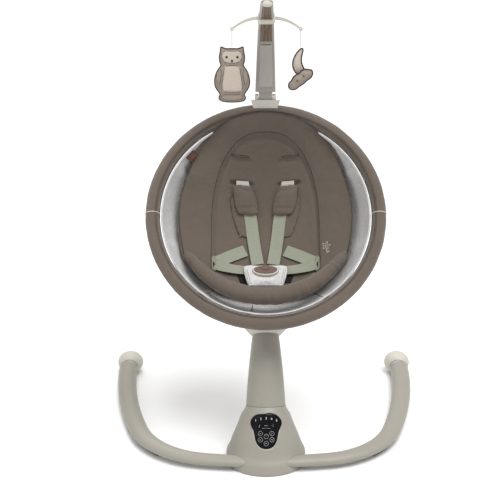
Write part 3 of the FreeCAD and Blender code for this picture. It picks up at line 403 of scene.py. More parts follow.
def rubber():
    """Dull black rubber of the feet."""
    finish = Finish("rubber", 0.8, Specular_IOR_Level=0.3)
    finish.paint(finish.blend(finish.spots(60, detail=5), (0.02, 0.02, 0.02),
                              (0.045, 0.043, 0.04)))
    finish.rough(finish.spots(300), 0.7, 0.9)
    finish.bump(finish.spots(900), 0.0001, 0.6)
    return finish.material


def twisted_string():
    """Pale cord with a visible twist."""
    finish = Finish("toy_string", 0.85, Sheen_Weight=0.2)
    twist = finish.add("ShaderNodeTexWave", bands_direction="DIAGONAL", _Scale=420.0)
    finish.join(finish.where.outputs["Object"], twist.inputs["Vector"])
    finish.paint(finish.blend(twist.outputs["Fac"], (0.50, 0.48, 0.44), (0.72, 0.70, 0.66)))
    finish.bump(twist.outputs["Fac"], 0.0002, 0.7)
    return finish.material


MAKERS = {
    "shell": lambda: satin_plastic("shell_plastic", tuple(colours().shell)),
    "cream": lambda: satin_plastic("cream_plastic", tuple(colours().cream), 0.45),
    # Dark plastic parts, and the ring of painted shadow in the swing joint's gap.
    "dark": lambda: satin_plastic("dark_plastic", (0.03, 0.03, 0.03), 0.5),
    "board": lambda: satin_plastic("circuit_board", (0.02, 0.12, 0.05), 0.4),
    "buckle_brown": lambda: satin_plastic("buckle_brown", (0.105, 0.050, 0.034), 0.4),
    "mark": lambda: satin_plastic("panel_marks", (0.62, 0.62, 0.62), 0.5),
    "panel": glossy_panel,
    "wood": wood_look,
    "leather": leather,
    "steel": lambda: metal("steel", (0.52, 0.52, 0.53), 0.32),
    "copper": lambda: metal("copper", (0.62, 0.28, 0.12), 0.35),
    "rubber": rubber,
    "brown": lambda: woven("brown_weave", tuple(colours().brown), 0.0011, 0.12, 0.30),
    # Dark brown for real piping and stitches; the cords in the inlay's seam groove and at the ring
    # cover's inner edge also paint the shade there.
    "brown_seam_and_shade": lambda: felt("brown_seam_and_shade", shade(tuple(colours().brown), 0.42)),
    # Near black felt: painted shadow in the strap slots' mouths.
    "slot_shadow": lambda: felt("deep_shadow_lining", (0.012, 0.010, 0.009)),
    # Paler than the shell: painted light on the toy bar's flat middle face.
    "bar_panel": lambda: satin_plastic("bar_lit_face_plastic", (0.40, 0.375, 0.34), 0.38),
    "heather": lambda: woven("heathered_knit", tuple(colours().heather), 0.0018, 0.24, 0.2, 2.2,
                             0.06),
    # Dark grey for real seams and stitches, and for the cords of painted shade in the bowl's folds.
    "heather_seam_and_shade": lambda: felt("heather_seam_and_shade", (0.20, 0.195, 0.19)),
    "sage": lambda: woven("sage_webbing", tuple(colours().sage), 0.0016, 0.10, 0.15, 0.5, 0.05),
    "thread": lambda: felt("pale_thread", (0.62, 0.585, 0.52)),
    "taupe": lambda: felt("toy_taupe_felt", tuple(colours().taupe)),
    "pale": lambda: felt("toy_cream_felt", tuple(colours().pale)),
    "toy_dark": lambda: felt("toy_dark_felt", (0.045, 0.035, 0.030)),
    "string": twisted_string,
}

finishes = {}


def finish_of(name):
    """A material by its short name, made when it is first asked for."""
    if name not in finishes:
        finishes[name] = MAKERS[name]()
    return finishes[name]


# ---------------------------------------------------------------- mesh helpers

def finished(name, bm, body, finish, smooth=True, recalculate=True):
    """Turns a bmesh into a named piece that rides on a body, or is left free for None."""
    if recalculate:
        bmesh.ops.recalc_face_normals(bm, faces=bm.faces)
    mesh = bpy.data.meshes.new(name)
    bm.to_mesh(mesh)
    bm.free()
    thing = bpy.data.objects.new(name, mesh)
    bpy.context.scene.collection.objects.link(thing)
    mesh.materials.append(finish_of(finish))
    mesh.polygons.foreach_set("use_smooth", [smooth] * len(mesh.polygons))
    if body:
        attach(thing, body)
    return thing


def grid(across, along, place):
    """A flat grid whose (-1..1, -1..1) corners are moved by place(a, b)."""
    bm = bmesh.new()
    bmesh.ops.create_grid(bm, x_segments=across, y_segments=along, size=1)
    for vert in bm.verts:
        vert.co = place(vert.co.x, vert.co.y)
    return bm


def block(cuts, place):
    """A cube cut up evenly, whose (-1..1) corners are moved by place(a, b, c)."""
    bm = bmesh.new()
    bmesh.ops.create_cube(bm, size=2)
    bmesh.ops.subdivide_edges(bm, edges=bm.edges[:], cuts=cuts, use_grid_fill=True)
    for vert in bm.verts:
        vert.co = place(*vert.co)
    return bm


def evaluated(thing, name):
    """A free mesh of an object with its modifiers applied."""
    bpy.context.view_layer.update()
    graph = bpy.context.evaluated_depsgraph_get()
    mesh = bpy.data.meshes.new_from_object(thing.evaluated_get(graph), depsgraph=graph)
    mesh.name = name
    return mesh


def piping(name, points, radius, body, finish, cyclic=False, sides=2):
    """A round cord sewn along a smooth line through the points."""
    curve = bpy.data.curves.new(name + "_line", "CURVE")
    curve.dimensions = "3D"
    curve.bevel_depth = radius
    curve.bevel_resolution = sides
    curve.use_fill_caps = not cyclic
    spline = curve.splines.new("NURBS")
    spline.points.add(len(points) - 1)
    for point, place in zip(spline.points, points):
        point.co = (*place, 1)
    spline.use_cyclic_u = cyclic
    spline.order_u = 3
    spline.use_endpoint_u = not cyclic
    spline.resolution_u = 3
    holder = bpy.data.objects.new(name + "_line", curve)
    bpy.context.scene.collection.objects.link(holder)
    bm = bmesh.new()
    bm.from_mesh(evaluated(holder, name))
    bpy.data.objects.remove(holder)
    bmesh.ops.remove_doubles(bm, verts=bm.verts, dist=0.00002)
    return finished(name, bm, body, finish)


def map_flat(thing, place):
    """A UV map in metres; place(world point) gives the two coordinates."""
    mesh = thing.data
    layer = mesh.uv_layers.new(name="cloth")
    for loop in mesh.loops:
        layer.data[loop.index].uv = place(mesh.vertices[loop.vertex_index].co)
    return thing


def map_turning(thing, place, radius):
    """A UV map wrapped round an axis; place(point) gives (angle, second coordinate)."""
    mesh = thing.data
    layer = mesh.uv_layers.new(name="cloth")
    for face in mesh.polygons:
        middle = place(face.center)[0]
        for index in face.loop_indices:
            angle, other = place(mesh.vertices[mesh.loops[index].vertex_index].co)
            if angle - middle > math.pi:
                angle -= math.tau
            elif middle - angle > math.pi:
                angle += math.tau
            layer.data[index].uv = (angle * radius, other)
    return thing


def seat_flat(point):
    """Coordinates in the seat ring's plane."""
    local = in_seat(point)
    return local.x, local.y


def surface_of(thing):
    """A search tree of an object's finished surface."""
    bpy.context.view_layer.update()
    bm = bmesh.new()
    bm.from_mesh(evaluated(thing, "ray_target"))
    tree = BVHTree.FromBMesh(bm)
    bm.free()
    return tree


def lay_on(tree, point, direction, proud):
    """Drops a point along a direction on to a surface, then lifts it proud of it."""
    hit, normal, _, _ = tree.ray_cast(point - direction * 0.2, direction, 0.4)
    if hit is None:
        hit, normal, _, _ = tree.find_nearest(point)
    if normal.dot(direction) > 0:
        normal = -normal
    return hit + normal * proud


# ---------------------------------------------------------------- filling

def remeshed(thing, voxel):
    """Gives a closed skin an even mesh."""
    modifier = thing.modifiers.new("even mesh", "REMESH")
    modifier.mode = "VOXEL"
    modifier.voxel_size = voxel
    mesh = evaluated(thing, thing.name)
    thing.modifiers.clear()
    old = thing.data
    thing.data = mesh
    bpy.data.meshes.remove(old)


def fill(thing, swell, hold=None):
    """Fills a closed skin with the cloth simulation, no point moving further than swell."""
    start = [vert.co.copy() for vert in thing.data.vertices]
    cloth = thing.modifiers.new("filling", "CLOTH")
    settings = cloth.settings
    settings.quality = 6
    settings.mass = 0.15
    settings.tension_stiffness = 18
    settings.compression_stiffness = 18
    settings.shear_stiffness = 8
    settings.bending_stiffness = 0.6
    settings.use_pressure = True
    settings.uniform_pressure_force = sizes().filling
    settings.effector_weights.gravity = 0
    if hold:
        group = thing.vertex_groups.new(name="held")
        group.add([i for i, point in enumerate(start) if hold(point)], 1.0, "REPLACE")
        settings.vertex_group_mass = "held"
    scene = bpy.context.scene
    steps = sizes().frames
    cloth.point_cache.frame_start = 1
    cloth.point_cache.frame_end = steps
    for step in range(1, steps + 1):
        scene.frame_set(step)
    graph = bpy.context.evaluated_depsgraph_get()
    filled = [vert.co.copy() for vert in thing.evaluated_get(graph).data.vertices]
    thing.modifiers.clear()
    thing.vertex_groups.clear()
    for vert, before, after in zip(thing.data.vertices, start, filled):
        move = after - before
        if move.length > swell:
            move *= swell / move.length
        vert.co = before + move
    scene.frame_set(1)


def smoothed(thing):
    """One subdivision, applied."""
    modifier = thing.modifiers.new("soft", "SUBSURF")
    modifier.levels = 1
    modifier.render_levels = 1
    mesh = evaluated(thing, thing.name)
    thing.modifiers.clear()
    old = thing.data
    thing.data = mesh
    bpy.data.meshes.remove(old)
    mesh.polygons.foreach_set("use_smooth", [True] * len(mesh.polygons))


def shaped(thing, move):
    """Moves every vertex by move(point, normal)."""
    mesh = thing.data
    moved = [vert.co + move(vert.co, vert.normal) for vert in mesh.vertices]
    for vert, place in zip(mesh.vertices, moved):
        vert.co = place
    mesh.update()


surfaces = {}


def pad_level(x, up):
    """Height of the stuffed inlay above the plain dish at a spot."""
    start = dish(x, up, 0.05)
    hit, _, _, distance = surfaces["inlay"].ray_cast(start, -dish_normal(x, up), 0.08)
    return 0.0 if hit is None else 0.05 - distance


def ripple(point, scale, seed):
    """Smooth unevenness between about -1 and 1."""
    return noise.noise(Vector((point.x * scale + seed, point.y * scale, point.z * scale)))


# ---------------------------------------------------------------- operators

class SwingPiece:
    """Shared settings of the swing's operators."""
    bl_options = {"REGISTER", "UNDO"}


class SWING_OT_camera(SwingPiece, bpy.types.Operator):
    """Adds the camera at the product's front, a little above it"""
    bl_idname = "swing.camera"
    bl_label = "Camera"

    spot = (-0.035, -2.140, 1.297)
    look_down = 20.5

    def execute(self, context):
        camera = bpy.data.cameras.new("front")
        camera.lens = 80.0
        camera.sensor_width = 36
        camera.clip_end = 30
        holder = bpy.data.objects.new("front", camera)
        holder.location = self.spot
        holder.rotation_euler = (math.radians(90 - self.look_down), 0, 0)
        context.scene.collection.objects.link(holder)
        context.scene.camera = holder
        return {"FINISHED"}


class SWING_OT_strings(SwingPiece, bpy.types.Operator):
    """Hangs a string from each of the toy hanger's eyelets"""
    bl_idname = "swing.strings"
    bl_label = "Toy strings"

    def execute(self, context):
        for toy in ("owl", "moon"):
            top, foot = string_ends(toy)
            curve = bpy.data.curves.new(toy + "_cord", "CURVE")
            curve.dimensions = "3D"
            curve.bevel_depth = STRING_RADIUS
            curve.bevel_resolution = 3
            curve.use_fill_caps = True
            spline = curve.splines.new("NURBS")
            points = [top, (top + foot) / 2, foot]
            spline.points.add(len(points) - 1)
            for point, place in zip(spline.points, points):
                point.co = (*place, 1)
            spline.order_u = 3
            spline.use_endpoint_u = True
            string = bpy.data.objects.new(toy + "_cord", curve)
            context.scene.collection.objects.link(string)
            curve.materials.append(finish_of("string"))
            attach(string, toy + "_line")
            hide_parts(toy + "_string")
            loop = self.loop(toy, top + Vector((0, 0, EYELET_GAP)))
        return {"FINISHED"}

    def loop(self, toy, eyelet):
        """The string's loop through the eyelet."""
        points = []
        for step in range(16):
            turn = math.tau * step / 16
            across = math.copysign(abs(math.cos(turn)) ** 0.67, math.cos(turn))
            rise = math.copysign(abs(math.sin(turn)) ** 0.67, math.sin(turn))
            points.append(eyelet + Vector((0, 0.0035 * across, 0.0029 * rise - 0.0030)))
        loop = piping(toy + "_string_loop", points, 0.0005, None, "string",
                      cyclic=True)
        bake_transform(loop)
        return loop


class SWING_OT_ring_cover(SwingPiece, bpy.types.Operator):
    """Sews the fabric cover round the seat ring, in two halves"""
    bl_idname = "swing.ring_cover"
    bl_label = "Ring cover"

    def execute(self, context):
        for name, side in (("upper", 1), ("lower", -1)):
            cover = self.half(name, side)
            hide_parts("ring_cover_" + name)
        for name, side in SIDES:
            around = []
            for step in range(16):
                turn = math.tau * step / 16
                reach = COVER_RADIUS + 0.0004
                around.append(seat(side * (RING_RADIUS + reach * math.cos(turn)), 0,
                                   reach * math.sin(turn)))
            piping("ring_seam_" + name, around, 0.0010, "seat", "thread", True)
        self.inner_binding()
        return {"FINISHED"}

    def half(self, name, side):
        bm = bmesh.new()
        bmesh.ops.create_circle(bm, cap_ends=False, segments=28, radius=COVER_RADIUS)
        turn = Matrix.Rotation(math.radians(90), 4, "X")
        bmesh.ops.transform(bm, matrix=Matrix.Translation((RING_RADIUS, 0, 0)) @ turn,
                            verts=bm.verts)
        trim = 0.0006
        bmesh.ops.rotate(bm, verts=bm.verts, matrix=Matrix.Rotation(trim, 3, "Z"))
        bmesh.ops.spin(bm, geom=bm.verts[:] + bm.edges[:], axis=(0, 0, 1), cent=(0, 0, 0),
                       angle=math.pi - 2 * trim, steps=200)
        bmesh.ops.holes_fill(bm, edges=bm.edges, sides=40)
        if side < 0:
            bmesh.ops.rotate(bm, verts=bm.verts, matrix=Matrix.Rotation(math.pi, 3, "Z"))
        for vert in bm.verts:
            around = math.atan2(vert.co.y, vert.co.x)
            centre = Vector((math.cos(around), math.sin(around), 0)) * RING_RADIUS
            out = vert.co - centre
            phase = math.atan2(out.z, out.length)
            pull = ripple(Vector((around * 9, phase * 0.8, 0)), 1.0, 3.0) * 0.0006
            pull += ripple(Vector((around * 60, phase * 1.2, 0)), 1.0, 7.0) * 0.00025
            inner = max(0.0, -out.normalized().dot(centre.normalized()) - 0.75)
            vert.co = centre + out * (1 + pull / COVER_RADIUS - inner * 0.05)
        bmesh.ops.transform(bm, matrix=SEAT, verts=bm.verts)
        cover = finished("ring_cloth_" + name, bm, "seat", "brown")

        def place(point):
            local = in_seat(point)
            reach = math.hypot(local.x, local.y) - RING_RADIUS
            return math.atan2(local.y, local.x), math.atan2(local.z, reach) * COVER_RADIUS
        return map_turning(cover, place, RING_RADIUS)

    def inner_binding(self):
        """Binding that joins the bowl to the ring cover; the dark cord at the cover's inner edge
        also paints the shadow line there.
        """
        for number, (radius, out, thick, finish, slot) in enumerate((
                (0.2407, 0.0127, 0.0006, "brown_seam_and_shade", "brown_fabric"),
                (0.2433, 0.0144, 0.0005, "brown_seam_and_shade", "brown_fabric"),
                # This loop sits at the ring cover's inner edge; its dark colour is partly painted
                # shadow.
                (0.2345, -0.0040, 0.0010, "brown_seam_and_shade", "brown_fabric"),
                (0.2293, -0.0165, 0.0007, "heather_seam_and_shade", "grey_fabric"),
                (0.2277, -0.0240, 0.0006, "heather_seam_and_shade", "grey_fabric"))):
            points = [seat(radius * math.cos(math.tau * step / 72),
                           radius * math.sin(math.tau * step / 72), out) for step in range(72)]
            loop = piping("bowl_binding_%d" % number, points, thick, "seat", finish, True)
            map_flat(loop, seat_flat)


class SWING_OT_bowl(SwingPiece, bpy.types.Operator):
    """Hangs the heathered fabric bowl inside the ring"""
    bl_idname = "swing.bowl"
    bl_label = "Fabric bowl"

    def execute(self, context):
        bm = bmesh.new()
        bmesh.ops.create_uvsphere(bm, u_segments=192, v_segments=120, radius=1)
        bmesh.ops.bisect_plane(bm, geom=bm.verts[:] + bm.edges[:] + bm.faces[:],
                               plane_co=(0, 0, -0.012), plane_no=(0, 0, 1), clear_outer=True)
        wide = BOWL_WIDE - 0.0004
        deep = BOWL_DEEP - 0.0004
        bmesh.ops.scale(bm, vec=(wide, wide, deep), verts=bm.verts)
        for vert in bm.verts:
            around = math.degrees(math.atan2(vert.co.y, vert.co.x)) % 360
            depth = -vert.co.z / deep
            give = 0.0
            for angle, reach in BOWL_CREASES:
                give += 0.0050 * math.exp(-((around - angle + 180) % 360 - 180) ** 2 / reach ** 2)
            give += 0.0024 * ripple(Vector((around * 0.30, depth * 3, 0)), 1.0, 11.0)
            give += 0.0016 * abs(ripple(Vector((around * 0.9, depth * 2, 0)), 1.0, 5.0))
            give = max(0.0, give) * min(1.0, depth * 5) * max(0.0, 1 - depth)
            vert.co *= 1 - give / wide
        bmesh.ops.transform(bm, matrix=SEAT, verts=bm.verts)
        bmesh.ops.recalc_face_normals(bm, faces=bm.faces)
        bowl = finished("fabric_bowl", bm, "seat", "heather", recalculate=False)
        middle = seat(0, 0, 0)
        face = bowl.data.polygons[0]
        if face.normal.dot(face.center - middle) < 0:
            bowl.data.flip_normals()
        wall = bowl.modifiers.new("wall", "SOLIDIFY")
        wall.thickness = BOWL_WALL - 0.0006
        wall.offset = -1
        map_turning(bowl, self.around, BOWL_WIDE)
        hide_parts("bowl_sling")
        self.under_seams()
        self.folds(surface_of(bowl))
        return {"FINISHED"}

    def folds(self, tree):
        """Dark cords of painted shade in the bowl's deepest folds, below the front roll."""
        for number, (angle, _) in enumerate(BOWL_CREASES[:3]):
            turn = math.radians(angle)
            out = SEAT.to_3x3() @ Vector((math.cos(turn), math.sin(turn), 0))
            points = []
            for step in range(9):
                hit, _, _, _ = tree.ray_cast(seat(0, 0, -0.040 - 0.007 * step), out, 0.3)
                if hit is not None:
                    points.append(hit - out * 0.0002)
            piping("bowl_crease_shadow_%d" % number, points, 0.0012, "seat", "heather_seam_and_shade")

    def around(self, point):
        """Angle round the bowl and the way down its wall."""
        local = in_seat(point)
        down = math.asin(max(-1.0, min(1.0, local.z / BOWL_DEEP)))
        return math.atan2(local.y, local.x), down * 0.2

    def under_seams(self):
        """Panel seams on the bowl's outside."""
        for number, angle in enumerate((48, 132, 236, 303)):
            turn = math.radians(angle)
            points = []
            for step in range(14):
                down = math.radians(4 + step * 6.2)
                reach = BOWL_WIDE * math.cos(down)
                points.append(seat(reach * math.cos(turn), reach * math.sin(turn),
                                   -BOWL_DEEP * math.sin(down)))
            piping("bowl_panel_seam_%d" % number, points, 0.0007, "seat",
                   "heather_seam_and_shade")


class SWING_OT_inlay(SwingPiece, bpy.types.Operator):
    """Stuffs the brown inlay pad and sews its seams and slots"""
    bl_idname = "swing.inlay"
    bl_label = "Inlay pad"

    seam_half = 0.117
    seam_top = 0.197
    seam_power = 2.35

    def execute(self, context):
        pad = bpy.data.objects.new("inlay_cushion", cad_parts["inlay_pad"].data.copy())
        context.scene.collection.objects.link(pad)
        bm = bmesh.new()
        bm.from_mesh(pad.data)
        bmesh.ops.remove_doubles(bm, verts=bm.verts, dist=0.00005)
        bm.to_mesh(pad.data)
        bm.free()
        pad.data.materials.clear()
        pad.data.materials.append(finish_of("brown"))
        remeshed(pad, sizes().voxel)
        fill(pad, sizes().swell, self.at_back)
        smoothed(pad)
        shaped(pad, self.drawn_up)
        shaped(pad, self.sewn)
        shaped(pad, self.kept_in)
        map_flat(pad, seat_flat)
        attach(pad, "seat")
        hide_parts("inlay_pad")
        tree = surfaces["inlay"] = surface_of(pad)
        self.seam_line(tree)
        self.edge_line(tree)
        self.slots(tree)
        self.motif(tree)
        return {"FINISHED"}

    def at_back(self, point):
        """Whether a point is on the pad's back, which stays as it is sewn."""
        local = in_seat(point)
        return (local - DISH_CENTRE).length > DISH_RADIUS + 0.016

    def off_seam(self, x, up):
        """Distance from the inner oval seam, positive outside it."""
        if up < 0:
            return abs(x) - self.seam_half
        power = self.seam_power
        wide = (abs(x) / self.seam_half) ** power
        tall = (up / self.seam_top) ** power
        share = max(wide + tall, 1e-6) ** (1 / power)
        reach = math.hypot(x, up)
        return reach * (1 - 1 / share)

    def drawn_up(self, point, normal):
        """Draws the pad's top edge up over the ring cover and thins it there."""
        reach = in_seat(point) - DISH_CENTRE
        tip = math.atan2(reach.y, -reach.z)
        part = min(1.0, max(0.0, (tip - 0.60) / 0.24))
        ease = part * part * (3 - 2 * part) * max(0.0, 1 - (reach.x / 0.150) ** 4)
        below = reach.length - DISH_RADIUS
        away = reach.normalized()
        plane = math.hypot(away.y, away.z)
        tip += 0.092 * ease
        wider = 1 + 0.10 * min(1.0, max(0.0, (reach.y - 0.13) / 0.07))
        away = Vector((away.x * wider, plane * math.sin(tip), -plane * math.cos(tip)))
        low = DISH_RADIUS - 0.0030 * ease + below * (1 - 0.80 * ease)
        return SEAT @ (DISH_CENTRE + away * low) - point

    def sewn(self, point, normal):
        """Seam groove, slot dents and soft unevenness of the stuffed face."""
        local = in_seat(point)
        inward = DISH_CENTRE - local
        if inward.length > DISH_RADIUS + 0.012:
            return Vector()
        towards = SEAT.to_3x3() @ inward.normalized()
        gap = self.off_seam(local.x, local.y)
        deep = -0.0048 * math.exp(-(gap / 0.0048) ** 2)
        deep += 0.0040 * math.exp(-((gap - 0.030) / 0.026) ** 2)
        widen = min(1.0, max(0.0, (abs(local.x) - 0.13) / 0.05))
        widen *= min(1.0, max(0.0, (0.14 - local.y) / 0.06))
        for height, half, depth in ((0.152, 0.020, 0.0030), (0.1045, 0.022, 0.0045)):
            off = Vector((abs(local.x) - 0.0546, local.y - height))
            deep -= depth * math.exp(-(max(0.0, abs(off.x) - half) / 0.006) ** 2
                                     - (off.y / 0.0045) ** 2)
        deep += 0.0016 * ripple(local, 16.0, 2.0) + 0.0007 * ripple(local, 48.0, 5.0)
        return towards * deep + Vector((math.copysign(0.006 * widen, local.x), 0, 0))

    def kept_in(self, point, normal):
        """Holds the pad off the bowl and the ring cover."""
        local = in_seat(point)
        wide = BOWL_WIDE - BOWL_WALL - 0.0015
        deep = BOWL_DEEP - BOWL_WALL - 0.0015
        if local.z < 0:
            share = math.sqrt((local.x ** 2 + local.y ** 2) / wide ** 2 + (local.z / deep) ** 2)
            if share > 1:
                return SEAT @ (local / share) - point
        flat = Vector((local.x, local.y, 0))
        centre = flat.normalized() * RING_RADIUS
        away = local - centre
        room = COVER_RADIUS + 0.001
        if away.length < room:
            return SEAT @ (centre + away.normalized() * room) - point
        return Vector()

    def seam_line(self, tree):
        """Seam of the inner oval, open at the foot; its dark cord lies in the groove and also
        paints the groove's shade.
        """
        points = []
        for step in range(45):
            turn = math.radians(-22 + 224 * step / 44)
            round_off = 2 / self.seam_power
            up = math.copysign(abs(math.sin(turn)) ** round_off, math.sin(turn)) * self.seam_top
            x = math.copysign(abs(math.cos(turn)) ** round_off, math.cos(turn)) * self.seam_half
            if up < 0:
                up = self.seam_top * math.sin(turn)
                x = math.copysign(self.seam_half, math.cos(turn))
            points.append(lay_on(tree, dish(x, up, 0.02), -dish_normal(x, up), -0.0001))
        piping("inlay_seam", points, 0.0011, "seat", "brown_seam_and_shade")

    def edge_line(self, tree):
        """Piping round the pad's outer edge."""
        outline = [(0.047, 0.2355), (0.092, 0.2160), (0.136, 0.1790), (0.167, 0.1300),
                   (0.183, 0.0850), (0.1935, 0.0370), (0.194, -0.0170), (0.182, -0.0750)]
        points = [(-x, up) for x, up in reversed(outline)] + [(0, 0.2415)] + outline
        placed = [lay_on(tree, dish(x, up, 0.02), -dish_normal(x, up), 0.0) for x, up in points]
        piping("inlay_edge_piping", placed, 0.0011, "seat", "brown_seam_and_shade")

    def slots(self, tree):
        """Bound slits that the harness can be threaded through."""
        for name, side in SIDES:
            for row, (up, half) in enumerate(((0.152, 0.019), (0.1045, 0.021))):
                rim = []
                for step in range(20):
                    turn = math.tau * step / 20
                    x = side * 0.0546 + half * math.cos(turn)
                    v = up + 0.0019 * math.sin(turn)
                    rim.append(lay_on(tree, dish(x, v, 0.02), -dish_normal(x, v), 0.0002))
                piping("slot_%s_%d" % (name, row), rim, 0.0009, "seat",
                       "brown_seam_and_shade", True)

    def motif(self, tree):
        """A small embroidered flower."""
        centre = Vector((0.131, -0.046))
        petals = []
        for step in range(40):
            turn = math.tau * step / 40
            reach = 0.0062 + 0.0026 * math.cos(turn * 5)
            petals.append(centre + Vector((reach * math.cos(turn), reach * math.sin(turn) * 1.1)))
        stem = [centre + Vector((0.0004 * step, -0.009 - 0.003 * step)) for step in range(4)]
        leaf = [centre + Vector(offset) for offset in ((0.0008, -0.0155), (0.004, -0.0125),
                                                       (0.0068, -0.0128), (0.0045, -0.0158),
                                                       (0.0008, -0.0155))]
        eye = [centre + Vector((math.cos(math.tau * step / 8), math.sin(math.tau * step / 8)))
               * 0.0018 for step in range(8)]
        for number, (line, closed) in enumerate(((petals, True), (stem, False), (leaf, False),
                                                 (eye, True))):
            points = [lay_on(tree, dish(x, up, 0.02), -dish_normal(x, up), 0.0001)
                      for x, up in line]
            piping("stitched_flower_%d" % number, points, 0.00045, "seat",
                   "thread", closed)


class SWING_OT_front_roll(SwingPiece, bpy.types.Operator):
    """Stuffs the crescent roll at the seat's front edge"""
    bl_idname = "swing.front_roll"
    bl_label = "Front roll"

    def execute(self, context):
        bm = bmesh.new()
        bmesh.ops.create_circle(bm, cap_ends=False, segments=24, radius=ROLL_RADIUS)
        turn = Matrix.Rotation(math.radians(90), 4, "X")
        bmesh.ops.transform(bm, matrix=Matrix.Translation((ROLL_BEND, 0, 0)) @ turn,
                            verts=bm.verts)
        start = Matrix.Rotation(math.radians(-90) - ROLL_HALF_ANGLE, 3, "Z")
        bmesh.ops.rotate(bm, verts=bm.verts, matrix=start)
        bmesh.ops.spin(bm, geom=bm.verts[:] + bm.edges[:], axis=(0, 0, 1), cent=(0, 0, 0),
                       angle=2 * ROLL_HALF_ANGLE, steps=90)
        bmesh.ops.holes_fill(bm, edges=bm.edges, sides=30)
        for vert in bm.verts:
            around = math.atan2(vert.co.y, vert.co.x)
            centre = Vector((math.cos(around), math.sin(around), 0)) * ROLL_BEND
            share = abs(around + math.pi / 2) / ROLL_HALF_ANGLE
            taper = 1.10 * math.sqrt(max(0.0, 1 - share ** 2.4)) + 0.10
            out = vert.co - centre
            vert.co = centre + out * taper
        bmesh.ops.transform(bm, matrix=SEAT @ Matrix.Translation(ROLL_CENTRE), verts=bm.verts)
        roll = finished("front_bolster", bm, "seat", "brown")
        remeshed(roll, sizes().voxel)
        fill(roll, 0.003)
        smoothed(roll)
        shaped(roll, self.creased)
        map_turning(roll, self.around, ROLL_BEND)
        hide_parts("front_roll")
        return {"FINISHED"}

    def around(self, point):
        """Angle along the roll and the way round its skin."""
        local = in_seat(point) - ROLL_CENTRE
        return math.atan2(local.y, local.x), local.z + math.hypot(local.x, local.y)

    def creased(self, point, normal):
        """Soft unevenness all over, and folds on the roll's inner side."""
        around, _ = self.around(point)
        share = around + math.pi / 2
        local = in_seat(point)
        out = 0.0017 * ripple(Vector((share * 14, local.z * 30, 0)), 1.0, 4.0)
        out += 0.0008 * ripple(Vector((share * 60, local.z * 20, 0)), 1.0, 8.0)
        inner = max(0.0, 0.185 - math.hypot(local.x, local.y - ROLL_CENTRE.y)) / 0.02
        for spot, wide in ((-0.03, 0.02), (0.10, 0.03), (-0.16, 0.03), (-0.42, 0.03),
                           (0.4, 0.03)):
            out -= 0.0036 * min(1.0, inner) * math.exp(-((share - spot) / wide) ** 2)
        return normal * out


class SWING_OT_crotch(SwingPiece, bpy.types.Operator):
    """Stuffs the heathered cover between the legs"""
    bl_idname = "swing.crotch"
    bl_label = "Crotch cover"

    def execute(self, context):
        def place(a, b, c):
            up = -0.1165 + 0.0280 * b - 0.004 * a ** 4 * max(0.0, b)
            half = 0.0470 + 0.0055 * b
            bend = 1 - 0.08 * (a ** 2) * (b ** 2)
            dent = math.exp(-(a / 0.55) ** 4 - ((up + 0.106) / 0.020) ** 4)
            plump = (1 - 0.25 * a ** 4) * (1 - 0.35 * b ** 4)
            rise = 0.0134 + 0.0076 * c * plump - 0.0040 * dent * max(0.0, c)
            return dish(half * a * bend, up, rise)
        cover = finished("crotch_cover", block(18, place), "seat", "heather")
        remeshed(cover, 0.0028)
        fill(cover, 0.0022)
        smoothed(cover)
        map_flat(cover, seat_flat)
        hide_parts("crotch_pad")
        self.slots()
        tree = surface_of(cover)
        for number, half in enumerate((0.040, 0.0435)):
            for name, side in SIDES:
                points = []
                for step in range(8):
                    up = -0.100 - step * 0.0056
                    x = side * (half - step * 0.0011)
                    points.append(lay_on(tree, dish(x, up, 0.03), -dish_normal(x, up), 0.0001))
                piping("crotch_stitch_%s_%d" % (name, number), points, 0.0004, "seat",
                       "heather_seam_and_shade")
        return {"FINISHED"}

    def slots(self):
        """Dark patches of painted shadow in the mouths of the slots that the cover's strap comes
        out of.
        """
        for name, side in SIDES:
            def place(a, b, c, side=side):
                x = side * (0.0530 + b * 0.003) + a * 0.0085 * (1 - 0.25 * b * b)
                up = -0.1190 + b * 0.0140
                return dish(x, up, pad_level(x, up) + 0.0006 + 0.0006 * c)
            finished("strap_slot_shadow_" + name, block(6, place), "seat", "slot_shadow")


